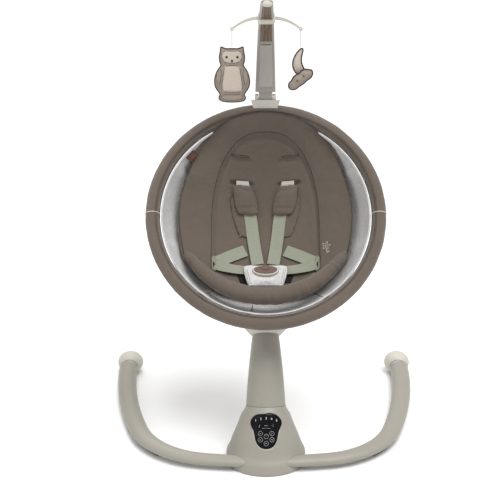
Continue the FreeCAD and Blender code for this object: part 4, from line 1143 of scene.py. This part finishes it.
class SWING_OT_shoulder_pads(SwingPiece, bpy.types.Operator):
    """Stuffs the shoulder pads and the flaps under them"""
    bl_idname = "swing.shoulder_pads"
    bl_label = "Shoulder pads"

    def execute(self, context):
        for name, side in SIDES:
            self.pad(name, side)
            self.flap(name, side)
        return {"FINISHED"}

    def pad(self, name, side):
        """The cushion that a shoulder strap runs through."""
        def place(a, b, c):
            middle = 0.0460 + 0.0065 * b
            bend = 1 - 0.11 * a * a * b * b
            x = side * middle + a * (0.0262 - 0.0012 * b) * bend
            up = 0.066 + b * 0.034 * bend
            plump = (1 - 0.80 * a ** 6) * (1 - 0.80 * b ** 6)
            rise = 0.0115 + 0.0050 * c * plump
            return dish(x, up, rise)
        pad = finished("shoulder_cushion_" + name, block(18, place), "seat",
                       "brown")
        remeshed(pad, 0.003)
        fill(pad, 0.0040)
        smoothed(pad)
        shaped(pad, self.pinched(side))
        map_flat(pad, seat_flat)
        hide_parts("shoulder_pad_" + name)

    def pinched(self, side):
        """Folds across a shoulder pad, one under its top edge and one above its foot."""
        def move(point, normal):
            local = in_seat(point)
            a = (side * local.x - 0.046) / 0.026
            out = 0.0006 * ripple(local, 60.0, 9.0)
            for height, slant, depth in ((0.087, 0.10, 0.0016), (0.0475, -0.06, 0.0014)):
                off = local.y - height - slant * 0.026 * a
                out -= depth * math.exp(-(off / 0.0040) ** 2) * max(0.0, 1 - 0.5 * a * a)
            return normal * out
        return move

    def flap(self, name, side):
        """The thin flap that shows beside a shoulder pad."""
        def place(a, b, c):
            wide = 0.0250 - 0.010 * max(0.0, -b)
            x = side * (0.0580 - 0.0135 * (1 - b) * 0.5) + a * wide
            up = 0.030 + b * 0.048
            plump = (1 - 0.6 * a ** 6) * (1 - 0.6 * b ** 6)
            return dish(x, up, pad_level(x, up) + 0.0008 + 0.0021 * (1 + c * plump))
        flap = finished("shoulder_flap_" + name, block(12, place), "seat", "brown")
        remeshed(flap, 0.0028)
        smoothed(flap)
        map_flat(flap, seat_flat)


# Middle lines of the webbing, as (across, up) in the seat ring's plane.
SHOULDER_LINE = ((0.0500, 0.1040), (0.0420, 0.0620), (0.0335, 0.0290), (0.0275, -0.0200),
                 (0.0215, -0.0600), (0.0175, -0.0860))
WAIST_OUT = ((0.0330, -0.1010), (0.0520, -0.1010), (0.0760, -0.0990), (0.0980, -0.0950),
             (0.1130, -0.0900))
WAIST_BACK = ((0.1150, -0.0880), (0.0980, -0.0780), (0.0800, -0.0670), (0.0600, -0.0570),
              (0.0450, -0.0500))


class SWING_OT_harness(SwingPiece, bpy.types.Operator):
    """Threads the webbing, the strap tabs and the strap adjusters"""
    bl_idname = "swing.harness"
    bl_label = "Harness"

    def execute(self, context):
        for name, side in SIDES:
            strap = self.web("shoulder_web_" + name, SHOULDER_LINE, side, self.shoulder_rise, 40)
            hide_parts("shoulder_strap_" + name)
            out = self.web("waist_web_" + name, WAIST_OUT, side, self.waist_rise, 30, 0.66)
            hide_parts("waist_strap_" + name)
            self.web("waist_web_back_" + name, WAIST_BACK, side, self.back_rise, 30)
            self.tab(name, side)
            self.adjuster(name, side)
        return {"FINISHED"}

    def shoulder_rise(self, share, a):
        """Height above the dish: clear of the pad, and up on to the buckle at the end."""
        return 0.0056 + 0.0028 * math.sin(math.pi * share) + 0.0065 * max(0.0, share - 0.75) * 4

    def waist_rise(self, share, a):
        """Height above the dish, with a slight wave across the webbing."""
        return 0.0110 - 0.0020 * share + 0.0012 * math.sin(share * 9) * a

    def back_rise(self, share, a):
        """Height above the dish, falling towards the slot."""
        return 0.0072 - 0.001 * share

    def at(self, line, share):
        """Point on a smooth line through the points, and its direction."""
        count = len(line) - 1
        place = min(max(share, 0.0), 1.0) * count
        index = min(int(place), count - 1)
        part = place - index
        before, start = line[max(index - 1, 0)], line[index]
        end, after = line[index + 1], line[min(index + 2, count)]
        spot = []
        slope = []
        for i in (0, 1):
            first = (end[i] - before[i]) / 2
            last = (after[i] - start[i]) / 2
            rise = end[i] - start[i]
            cubic = first + last - 2 * rise
            square = 3 * rise - 2 * first - last
            spot.append(start[i] + part * (first + part * (square + part * cubic)))
            slope.append(first + part * (2 * square + 3 * part * cubic))
        return Vector(spot), Vector(slope).normalized()

    def web(self, name, line, side, rise, steps, start=1.0):
        """Webbing along a line; start is the share of its width at the line's first point."""
        width = sizes().webbing

        def place(a, b):
            share = (b + 1) / 2
            spot, run = self.at(line, share)
            across = Vector((-run.y, run.x))
            spot = spot + across * (a * width / 2 * (start + (1 - start) * share))
            edge = 0.0003 if abs(a) > 0.9 else 0.0
            x = side * spot.x
            return dish(x, spot.y, max(rise(share, a), pad_level(x, spot.y) + 0.0022) + edge)
        bm = grid(14, steps, place)
        web = finished(name, bm, "seat", "sage")
        middle = web.data.polygons[len(web.data.polygons) // 2]
        local = in_seat(middle.center)
        if middle.normal.dot(dish_normal(local.x, local.y)) < 0:
            web.data.flip_normals()
        wall = web.modifiers.new("thickness", "SOLIDIFY")
        wall.thickness = 0.0015
        wall.offset = -1
        edge = web.modifiers.new("edges", "BEVEL")
        edge.width = 0.0004
        edge.segments = 2
        edge.limit_method = "ANGLE"
        layer = web.data.uv_layers.new(name="cloth")
        length = sum((Vector(b) - Vector(a)).length for a, b in zip(line, line[1:]))
        for face in web.data.polygons:
            for index in face.loop_indices:
                number = web.data.loops[index].vertex_index
                layer.data[index].uv = ((number % 15) / 14 * width, (number // 15) / steps * length)
        return web

    def tab(self, name, side):
        """Pale loop of the strap where it leaves its slot."""
        def place(a, b, c):
            return dish(side * 0.0520 + a * 0.0145, 0.1035 + b * 0.0058, 0.0062 + 0.0032 * c)
        bm = block(4, place)
        bmesh.ops.bevel(bm, geom=[e for e in bm.edges if e.calc_face_angle(0) > 0.8],
                        offset=0.0016, offset_type="OFFSET", segments=3, profile=0.5,
                        affect="EDGES", material=-1)
        finished("strap_tab_" + name, bm, "seat", "cream")

    def adjuster(self, name, side):
        """Plastic loop that the waist webbing folds round."""
        points = []
        for a, b in ((-1, -1), (0, -1.05), (1, -1), (1.05, 0), (1, 1), (0, 1.05), (-1, 1),
                     (-1.05, 0)):
            x = 0.1160 + a * 0.0035
            up = -0.0895 + b * 0.0165 + a * 0.002
            points.append(dish(side * x, up, 0.0075))
        piping("strap_loop_" + name, points, 0.0014, "seat", "sage", True)


class SWING_OT_buckle(SwingPiece, bpy.types.Operator):
    """Models the buckle with its pale rim and brown face"""
    bl_idname = "swing.buckle"
    bl_label = "Buckle"

    up = -0.108

    def place(self):
        """A frame on the buckle's seat: X across, Y along, Z out."""
        middle = dish(0, self.up, 0.0154)
        out = dish_normal(0, self.up)
        across = Vector((1, 0, 0))
        along = out.cross(across)
        return Matrix.Translation(middle) @ Matrix((across, along, out)).transposed().to_4x4()

    def execute(self, context):
        spot = self.place()
        rim = self.oval(0.0300, 0.0155, 0.0127, 0.0028)
        self.add("buckle_rim", rim, spot, "cream_plastic", "cream", 0.0)
        face = self.oval(0.0262, 0.0118, 0.0022, 0.0009)
        self.add("buckle_face", face, spot, "buckle_brown", "buckle_brown", 0.0115)
        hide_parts("buckle_housing")
        return {"FINISHED"}

    def oval(self, half_wide, half_tall, height, soft):
        """A flat-topped oval block with a rounded upper edge."""
        bm = bmesh.new()
        bmesh.ops.create_circle(bm, cap_ends=True, segments=64, radius=1)
        for vert in bm.verts:
            x, y = vert.co.x, vert.co.y
            lift = 0.80 if y > 0 else 1.0
            across = math.copysign(abs(x) ** 0.92, x) * half_wide
            vert.co = Vector((across, y * half_tall * lift, 0))
        top = bmesh.ops.extrude_face_region(bm, geom=bm.faces[:])
        raised = [item for item in top["geom"] if isinstance(item, bmesh.types.BMVert)]
        bmesh.ops.translate(bm, verts=raised, vec=(0, 0, height))
        rims = [edge for edge in bm.edges if all(vert in raised for vert in edge.verts)]
        bmesh.ops.bevel(bm, geom=rims, offset=soft, offset_type="OFFSET", segments=6, profile=0.5,
                        affect="EDGES", material=-1)
        return bm

    def add(self, name, bm, spot, slot, finish, lift):
        """Sets a block on the buckle's seat."""
        bmesh.ops.translate(bm, verts=bm.verts, vec=(0, 0, lift))
        bmesh.ops.transform(bm, matrix=spot, verts=bm.verts)
        piece = finished(name, bm, "seat", finish)
        piece.data.polygons.foreach_set("use_smooth", [len(face.vertices) < 10
                                                       for face in piece.data.polygons])
        return piece


class SWING_OT_tag(SwingPiece, bpy.types.Operator):
    """Sews the plain leather tag to the bowl"""
    bl_idname = "swing.tag"
    bl_label = "Side tag"

    def execute(self, context):
        turn = math.radians(139)

        def place(a, b, c):
            angle = turn + a * 0.054
            reach = 0.2205 + 0.0080 * b
            lift = -0.0135 + 0.0032 * b + 0.0006 * c - 0.0010 * a * a
            return seat(reach * math.cos(angle), reach * math.sin(angle), lift)
        bm = block(6, place)
        tag = finished("leather_tag", bm, "seat", "leather")
        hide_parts("side_tag")
        stitches = []
        for a, b in ((-0.85, -0.8), (0, -0.82), (0.85, -0.8), (0.88, 0), (0.85, 0.8), (0, 0.82),
                     (-0.85, 0.8), (-0.88, 0)):
            stitches.append(place(a, b, 1.0))
        piping("tag_stitch", stitches, 0.0003, "seat", "brown_seam_and_shade", True)
        return {"FINISHED"}


class SWING_OT_toys(SwingPiece, bpy.types.Operator):
    """Makes the owl, the moon and the cloud"""
    bl_idname = "swing.toys"
    bl_label = "Hanging toys"

    def execute(self, context):
        self.owl()
        self.moon()
        self.cloud()
        return {"FINISHED"}

    def cushion(self, name, outline, spot, thick, body, slot, finish, crown=0.45):
        """A flat stuffed shape: an outline, its faces crowned and its edge piped."""
        curve = bpy.data.curves.new(name, "CURVE")
        curve.dimensions = "2D"
        curve.fill_mode = "NONE"
        spline = curve.splines.new("NURBS")
        spline.points.add(len(outline) - 1)
        for point, (x, y) in zip(spline.points, outline):
            point.co = (x, y, 0, 1)
        spline.order_u = 3
        spline.use_cyclic_u = True
        spline.resolution_u = 6
        holder = bpy.data.objects.new(name + "_line", curve)
        bpy.context.scene.collection.objects.link(holder)
        rim = [vert.co.copy() for vert in evaluated(holder, name).vertices]
        bpy.data.objects.remove(holder)
        bm = bmesh.new()
        verts = [bm.verts.new(point) for point in rim]
        bm.faces.new(verts)
        bmesh.ops.recalc_face_normals(bm, faces=bm.faces)
        for inset in (0.12, 0.22, 0.33, 0.33):
            bmesh.ops.inset_region(bm, faces=[max(bm.faces, key=lambda f: f.calc_area())],
                                   thickness=thick * inset, depth=0, use_even_offset=True)
        bmesh.ops.triangulate(bm, faces=[face for face in bm.faces if len(face.verts) > 4])
        edges = [edge for edge in bm.edges if edge.is_boundary]
        border = {vert for edge in edges for vert in edge.verts}
        rims = [v.co.copy() for v in border]
        for vert in bm.verts:
            if vert in border:
                vert.co.z = thick * 0.08
                continue
            near = min((vert.co.xy - other.xy).length for other in rims)
            share = min(1.0, near / (thick * 0.95))
            vert.co.z = thick * (0.08 + 0.42 * math.sin(share * math.pi / 2) ** crown)
        copy = bmesh.ops.duplicate(bm, geom=bm.verts[:] + bm.edges[:] + bm.faces[:])
        back = [item for item in copy["geom"] if isinstance(item, bmesh.types.BMVert)]
        bmesh.ops.scale(bm, vec=(1, 1, -1), verts=back)
        bmesh.ops.bridge_loops(bm, edges=[edge for edge in bm.edges if edge.is_boundary])
        bmesh.ops.transform(bm, matrix=spot, verts=bm.verts)
        piece = finished(name, bm, body, finish)
        points = [spot @ point for point in rim[::2]]
        piping(name + "_piping", points, 0.0016, body, "toy_dark", True)
        return piece

    def patch(self, name, outline, tree, spot, body, slot, finish, thick=0.0010, piped=True):
        """A felt patch laid on a toy's face."""
        def laid(x, y, proud):
            start = spot @ Vector((x, y, 0.03))
            towards = -(spot.to_3x3() @ Vector((0, 0, 1)))
            return lay_on(tree, start, towards, proud)
        bm = bmesh.new()
        bm.faces.new([bm.verts.new((x, y, 0)) for x, y in outline])
        bmesh.ops.inset_region(bm, faces=bm.faces[:], thickness=0.0016, depth=0,
                               use_even_offset=True)
        middle = max(bm.faces, key=lambda face: len(face.verts))
        bmesh.ops.poke(bm, faces=[middle])
        bmesh.ops.subdivide_edges(bm, edges=bm.edges[:], cuts=3, use_grid_fill=True)
        edge = {vert for line in bm.edges if line.is_boundary for vert in line.verts}
        for vert in bm.verts:
            vert.co = laid(vert.co.x, vert.co.y, 0.0001 if vert in edge else thick)
        piece = finished(name, bm, body, finish)
        wall = piece.modifiers.new("thickness", "SOLIDIFY")
        wall.thickness = 0.0008
        wall.offset = 0
        if piped:
            points = [laid(x, y, 0.0003) for x, y in outline]
            piping(name + "_stitch", points, 0.00055, body, "toy_dark", True)
        return piece

    def round_patch(self, name, x, y, radius, tree, spot, body, slot, finish):
        """A low round bead on a toy's face."""
        bm = bmesh.new()
        bmesh.ops.create_uvsphere(bm, u_segments=20, v_segments=12, radius=radius)
        bmesh.ops.scale(bm, vec=(1, 1, 0.45), verts=bm.verts)
        towards = -(spot.to_3x3() @ Vector((0, 0, 1)))
        centre = lay_on(tree, spot @ Vector((x, y, 0.03)), towards, 0.0004)
        bmesh.ops.transform(bm, matrix=Matrix.Translation(centre) @ spot.to_3x3().to_4x4(),
                            verts=bm.verts)
        finished(name, bm, body, finish)

    def facing(self, centre, roll=0.0):
        """A frame that faces the front: X across, Y up, Z out."""
        return (Matrix.Translation(centre) @ Matrix.Rotation(math.radians(90), 4, "X")
                @ Matrix.Rotation(roll, 4, "Z"))

    def both(self, half):
        """An outline completed by its own mirror image."""
        return half + [(-x, y) for x, y in reversed(half)]

    def owl(self):
        low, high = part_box("owl_toy")
        spot = self.facing((low + high) / 2)
        tall = (high.z - low.z) / 2
        outline = self.both([(0.005, tall - 0.0035), (0.012, tall - 0.0040),
                             (0.0185, tall - 0.0020), (0.0245, tall + 0.0015),
                             (0.0245, tall - 0.0080), (0.0275, tall - 0.0200),
                             (0.0265, tall - 0.0330), (0.0225, tall - 0.0400),
                             (0.0320, tall - 0.0500), (0.0385, tall - 0.0690),
                             (0.0375, tall - 0.0870), (0.0285, tall - 0.0990),
                             (0.0255, tall - 0.1045), (0.0300, tall - 0.1110),
                             (0.0260, tall - 0.1180), (0.0110, tall - 0.1205)])
        body = self.cushion("owl_body", outline, spot, 0.0150, "owl", "toy_taupe", "taupe")
        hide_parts("owl_toy")
        tree = surface_of(body)
        belly = self.both([(0.005, tall - 0.0400), (0.0165, tall - 0.0410),
                           (0.0185, tall - 0.058), (0.0225, tall - 0.082),
                           (0.0215, tall - 0.0970), (0.008, tall - 0.0980)])
        self.patch("owl_belly", belly, tree, spot, "owl", "toy_cream", "pale")
        brow = self.both([(0.004, tall - 0.0090), (0.0140, tall - 0.0075),
                          (0.0215, tall - 0.0120), (0.0225, tall - 0.0220),
                          (0.0180, tall - 0.0310), (0.0080, tall - 0.0345)])
        self.patch("owl_brow", brow, tree, spot, "owl", "toy_cream", "pale")
        for name, side in SIDES:
            self.round_patch("owl_eye_" + name, side * 0.0118, tall - 0.0215, 0.0036, tree, spot,
                             "owl", "toy_taupe", "toy_dark")
        beak = self.both([(0.0005, tall - 0.0265), (0.0030, tall - 0.0270),
                          (0.0012, tall - 0.0335)])
        self.patch("owl_beak", beak, tree, spot, "owl", "toy_taupe", "toy_dark", 0.0012, False)
        for name, side in SIDES:
            wing = [(side * 0.0265, tall - 0.0440), (side * 0.0335, tall - 0.0560),
                    (side * 0.0345, tall - 0.0700), (side * 0.0290, tall - 0.0860),
                    (side * 0.0255, tall - 0.0720), (side * 0.0235, tall - 0.0560)]
            self.patch("owl_wing_" + name, wing, tree, spot, "owl", "toy_taupe", "taupe")
        band = self.both([(0.005, tall - 0.1045), (0.0225, tall - 0.1045),
                          (0.0245, tall - 0.1110), (0.0170, tall - 0.1155),
                          (0.006, tall - 0.1165)])
        self.patch("owl_base_band", band, tree, spot, "owl", "toy_taupe", "taupe")

    def moon(self):
        low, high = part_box("moon_toy")
        top = high.z
        spot = self.facing(Vector((*string_ends("moon")[0].xy, top)))
        outline = [(0.0030, -0.0010), (-0.0060, -0.0100), (-0.0125, -0.0200), (-0.0165, -0.0320),
                   (-0.0160, -0.0440), (-0.0110, -0.0550), (-0.0020, -0.0610),
                   (0.0090, -0.0600), (0.0120, -0.0540), (0.0075, -0.0450), (0.0035, -0.0370),
                   (0.0020, -0.0280), (0.0035, -0.0160), (0.0065, -0.0060)]
        moon = self.cushion("moon_body", outline, spot, 0.0095, "moon", "toy_cream", "pale")
        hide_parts("moon_toy")

    def cloud(self):
        low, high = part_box("cloud_toy")
        spot = self.facing((low + high) / 2, math.radians(38))
        outline = [(-0.0290, -0.0080), (-0.0320, -0.0010), (-0.0260, 0.0080), (-0.0160, 0.0085),
                   (-0.0110, 0.0125), (-0.0010, 0.0135), (0.0060, 0.0100), (0.0120, 0.0135),
                   (0.0220, 0.0110), (0.0265, 0.0050), (0.0320, 0.0010), (0.0290, -0.0080),
                   (0.0190, -0.0125), (0.0100, -0.0110), (0.0000, -0.0130), (-0.0110, -0.0110),
                   (-0.0200, -0.0125)]
        cloud = self.cushion("cloud_body", outline, spot, 0.0130, "moon", "toy_taupe", "taupe")
        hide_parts("cloud_toy")
        tree = surface_of(cloud)
        for name, side in SIDES:
            self.round_patch("cloud_eye_" + name, 0.001 + side * 0.0085, 0.001, 0.0017, tree, spot,
                             "moon", "toy_taupe", "toy_dark")


class SWING_OT_panel_marks(SwingPiece, bpy.types.Operator):
    """Prints the numbers and plain touch symbols on the control panel"""
    bl_idname = "swing.panel_marks"
    bl_label = "Panel marks"

    foot = Vector((0, -0.0452, 0.0554))
    head = Vector((0, -0.0023, 0.1185))
    arc = 0.070

    def execute(self, context):
        up = (self.head - self.foot).normalized()
        out = Vector((1, 0, 0)).cross(up)
        self.spot = (Matrix.Translation((self.foot + self.head) / 2)
                     @ Matrix((Vector((1, 0, 0)), up, out)).transposed().to_4x4())
        self.tree = surface_of(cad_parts["control_panel"])
        self.out = out
        for number in range(5):
            turn = math.radians(19 - 9.5 * number)
            x = -self.arc * math.sin(turn)
            y = self.arc * math.cos(turn) - 0.0455
            self.digit(str(number + 1), x, y, 0.0075)
        self.line("mark_note", [(-0.0150, 0.0085), (-0.0150, 0.0125), (-0.0130, 0.0130)])
        self.dots("mark_note_dot", [(-0.0158, 0.0083)], 0.0009)
        self.line("mark_wave", [(-0.0040, 0.0110), (-0.0020, 0.0122), (0.0000, 0.0106),
                                (0.0020, 0.0122), (0.0040, 0.0110)])
        self.dots("mark_drops", [(0.0125, 0.0118), (0.0150, 0.0100), (0.0160, 0.0128)], 0.0007)
        self.line("mark_rule", [(-0.0090, 0.0055), (0.0, 0.0060), (0.0090, 0.0055)], 0.00022)
        for number, (x, y) in enumerate(((-0.0125, -0.0050), (-0.0125, -0.0185), (0.0, -0.0115),
                                         (0.0, -0.0265), (0.0125, -0.0050), (0.0125, -0.0185))):
            self.touch(number, x, y)
        self.rim()
        return {"FINISHED"}

    def drop(self, x, y, proud=0.0001):
        """A point of the panel's flat layout, laid on its window."""
        return lay_on(self.tree, self.spot @ Vector((x, y, 0.03)), -self.out, proud)

    def digit(self, text, x, y, tall):
        """A printed number, as thin raised ink."""
        words = bpy.data.curves.new("digit_" + text, "FONT")
        words.body = text
        words.size = tall
        words.align_x = "CENTER"
        words.extrude = 0.00008
        holder = bpy.data.objects.new("digit_source", words)
        bpy.context.scene.collection.objects.link(holder)
        bm = bmesh.new()
        bm.from_mesh(evaluated(holder, "digit"))
        bpy.data.objects.remove(holder)
        bmesh.ops.remove_doubles(bm, verts=bm.verts, dist=0.000005)
        for vert in bm.verts:
            vert.co = self.drop(x + vert.co.x, y + vert.co.y, 0.0001 + vert.co.z)
        finished("panel_digit_" + text, bm, "base", "mark", False)

    def line(self, name, points, radius=0.0003):
        """A printed stroke."""
        piping(name, [self.drop(x, y) for x, y in points], radius, "base", "mark")

    def dots(self, name, spots, radius):
        """Printed dots."""
        bm = bmesh.new()
        for x, y in spots:
            bmesh.ops.create_uvsphere(bm, u_segments=12, v_segments=8, radius=radius,
                                      matrix=Matrix.Translation(self.drop(x, y, -radius * 0.7)))
        finished(name, bm, "base", "mark")

    def touch(self, number, x, y):
        """A ring with a plain shape in it."""
        ring = [self.drop(x + 0.0048 * math.cos(math.tau * step / 24),
                          y + 0.0048 * math.sin(math.tau * step / 24)) for step in range(24)]
        piping("touch_ring_%d" % number, ring, 0.00022, "base", "mark", True)
        shapes = (((-0.0018, 0), (0.0018, 0)),
                  ((-0.0016, -0.0012), (0, 0.0014), (0.0016, -0.0012)),
                  ((0, 0.0024), (0, 0.0002)),
                  ((-0.0016, 0.0010), (0, -0.0014), (0.0016, 0.0010)),
                  ((0, -0.0018), (0, 0.0018)),
                  ((-0.0014, 0), (0, 0.0015), (0.0014, 0), (0, -0.0015)))
        shape = [(x + a, y + b) for a, b in shapes[number]]
        self.line("touch_shape_%d" % number, shape, 0.0003)

    def rim(self):
        """Pale edge round the panel's foot."""
        half = [(0.0295, 0.004), (0.0250, -0.018), (0.0180, -0.0335), (0.0080, -0.0395)]
        points = [(-x, y) for x, y in half] + [(0, -0.0405)] + [(x, y) for x, y in reversed(half)]
        shell = surface_of(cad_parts["hub_front_shell"])
        placed = [lay_on(shell, self.spot @ Vector((x, y, 0.03)), -self.out, 0.0)
                  for x, y in points]
        piping("panel_rim", placed, 0.0008, "base", "cream")


class SWING_OT_shells(SwingPiece, bpy.types.Operator):
    """Finishes the hard parts: their materials, cap lines, the toy bar's strip and a ring of
    painted shadow in the swing joint's gap
    """
    bl_idname = "swing.shells"
    bl_label = "Shell details"

    node_finishes = {
        "shell": ("hub_front_shell", "hub_rear_shell", "leg_front_shell", "leg_rear_shell",
                  "base_tube_left", "base_tube_right", "toy_bar"),
        "cream": ("end_cap_left", "end_cap_right", "seat_cup", "seat_shell", "toy_bar_clip",
                  "toy_hanger", "toy_bar_tip"),
        "dark": ("hub_base_plate", "spindle_housing", "speaker", "dc_inlet", "magnet_arm"),
        "panel": ("control_panel",),
        "board": ("control_board",),
        "copper": ("drive_coil",),
        "steel": ("hub_screws", "spindle", "spindle_bearings", "leg_tube", "drive_magnet",
                  "pivot_knuckle", "recline_pin", "ring_upper_tube", "ring_lower_tube",
                  "ring_joiners", "base_joiner", "toy_bar_pin"),
        "rubber": ("hub_foot_pad", "foot_strips"),
        "wood": ("toy_bar_inlay",),
        "buckle_brown": ("buckle_button", "buckle_tongues"),
    }

    def execute(self, context):
        for finish, nodes in self.node_finishes.items():
            for node in nodes:
                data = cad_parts[node].data
                data.materials.clear()
                data.materials.append(finish_of(finish))
        for name, side in SIDES:
            self.cap_line(name, side)
        self.swing_gap()
        self.bar_insert()
        return {"FINISHED"}

    def swing_gap(self):
        """Dark ring of painted shadow in the gap between the hub and the swinging leg."""
        middle = SWING_AXIS * (SPLIT_REACH - 0.0004)
        back = Vector((0, SWING_AXIS.z, -SWING_AXIS.y))
        reach = LEG_BASE_RADIUS - 0.0004
        points = [middle + Vector((1, 0, 0)) * reach * math.cos(math.tau * step / 24)
                  + back * reach * math.sin(math.tau * step / 24) for step in range(24)]
        piping("swing_gap_shadow", points, 0.0008, "base", "dark", True)

    def bar_insert(self):
        """Strip let into the lower part of the toy bar, paler with painted light for its lit flat
        face.
        """
        def place(a, b):
            angle = 20.0 + b * 13.4
            width, thick = bar_section(angle)
            return bar_spot(angle, thick / 2 + 0.0002, a * width * 0.36)
        strip = finished("bar_strip", grid(8, 30, place), "bar", "bar_panel")
        wall = strip.modifiers.new("thickness", "SOLIDIFY")
        wall.thickness = 0.0006
        wall.offset = 0

    def cap_line(self, name, side):
        """Dark parting line over an end cap."""
        low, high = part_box("end_cap_" + name)
        tree = surface_of(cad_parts["end_cap_" + name])
        middle = (low + high) / 2
        points = []
        for step in range(15):
            turn = math.radians(12 * step + 6)
            edge = Vector((middle.x, low.y + 0.0025, middle.z - 0.004))
            out = Vector((math.cos(turn), 0, math.sin(turn)))
            hit, _, _, _ = tree.ray_cast(edge + out * 0.08, -out, 0.2)
            if hit is not None:
                points.append(hit - out * 0.0002)
        piping("cap_line_" + name, points, 0.0006, "base", "dark")


class SWING_OT_stage(SwingPiece, bpy.types.Operator):
    """Adds the pale floor and the soft studio lights"""
    bl_idname = "swing.stage"
    bl_label = "Stage"

    def execute(self, context):
        bm = bmesh.new()
        bmesh.ops.create_grid(bm, x_segments=1, y_segments=1, size=12)
        mesh = bpy.data.meshes.new("floor")
        bm.to_mesh(mesh)
        bm.free()
        floor = bpy.data.objects.new("floor", mesh)
        context.scene.collection.objects.link(floor)
        finish = Finish("studio_floor", 0.6, Specular_IOR_Level=0.2)
        finish.paint(finish.blend(finish.spots(1.5, detail=2), (0.93, 0.93, 0.93),
                                  (0.95, 0.95, 0.95)))
        mesh.materials.append(finish.material)
        world = bpy.data.worlds.new("studio")
        world.use_nodes = True
        sky = world.node_tree.nodes["Background"]
        sky.inputs["Color"].default_value = (1, 1, 1, 1)
        seen = world.node_tree.nodes.new("ShaderNodeLightPath")
        strength = world.node_tree.nodes.new("ShaderNodeMapRange")
        strength.inputs["To Min"].default_value = 0.50
        strength.inputs["To Max"].default_value = 1.05
        world.node_tree.links.new(seen.outputs["Is Camera Ray"], strength.inputs["Value"])
        world.node_tree.links.new(strength.outputs["Result"], sky.inputs["Strength"])
        context.scene.world = world
        self.lamp("key", "SUN", (0.55, -0.45, 2.7), math.radians(42), 2.45)
        self.lamp("fill", "AREA", (-1.9, -1.3, 1.9), 1.6, 9)
        self.lamp("rim", "AREA", (-0.5, 1.8, 2.4), 1.4, 20)
        context.scene.view_settings.view_transform = "Standard"
        return {"FINISHED"}

    def lamp(self, name, kind, place, width, power):
        """A soft light; width is a sun's spread or an area light's side."""
        light = bpy.data.lights.new(name, kind)
        if kind == "SUN":
            light.angle = width
        else:
            light.size = width
        light.energy = power
        holder = bpy.data.objects.new(name, light)
        holder.location = place
        towards = Vector((0, 0.12, 0.45)) - Vector(place)
        holder.rotation_euler = towards.to_track_quat("-Z", "Y").to_euler()
        bpy.context.scene.collection.objects.link(holder)


OPERATORS = (SWING_OT_camera, SWING_OT_strings, SWING_OT_shells, SWING_OT_panel_marks,
             SWING_OT_ring_cover, SWING_OT_bowl, SWING_OT_inlay, SWING_OT_front_roll,
             SWING_OT_crotch, SWING_OT_shoulder_pads, SWING_OT_harness, SWING_OT_buckle,
             SWING_OT_tag, SWING_OT_toys, SWING_OT_stage)


class SWING_PT_panel(bpy.types.Panel):
    """Sizes, colours and pieces of the swing"""
    bl_idname = "SWING_PT_panel"
    bl_label = "Baby swing"
    bl_space_type = "VIEW_3D"
    bl_region_type = "UI"
    bl_category = "Swing"

    def draw(self, context):
        for group in (context.scene.swing_sizes, context.scene.swing_colours):
            for name in group.__annotations__:
                self.layout.prop(group, name)
        for operator in OPERATORS:
            self.layout.operator(operator.bl_idname)


CLASSES = (SwingSizes, SwingColours, *OPERATORS, SWING_PT_panel)


def register():
    for kind in CLASSES:
        bpy.utils.register_class(kind)
    bpy.types.Scene.swing_sizes = PointerProperty(type=SwingSizes)
    bpy.types.Scene.swing_colours = PointerProperty(type=SwingColours)


def unregister():
    del bpy.types.Scene.swing_colours
    del bpy.types.Scene.swing_sizes
    for kind in reversed(CLASSES):
        bpy.utils.unregister_class(kind)


def main():
    register()
    for operator in OPERATORS:
        group, name = operator.bl_idname.split(".")
        getattr(getattr(bpy.ops, group), name)()
    bpy.context.view_layer.update()


if __name__ == "__main__":
    main()
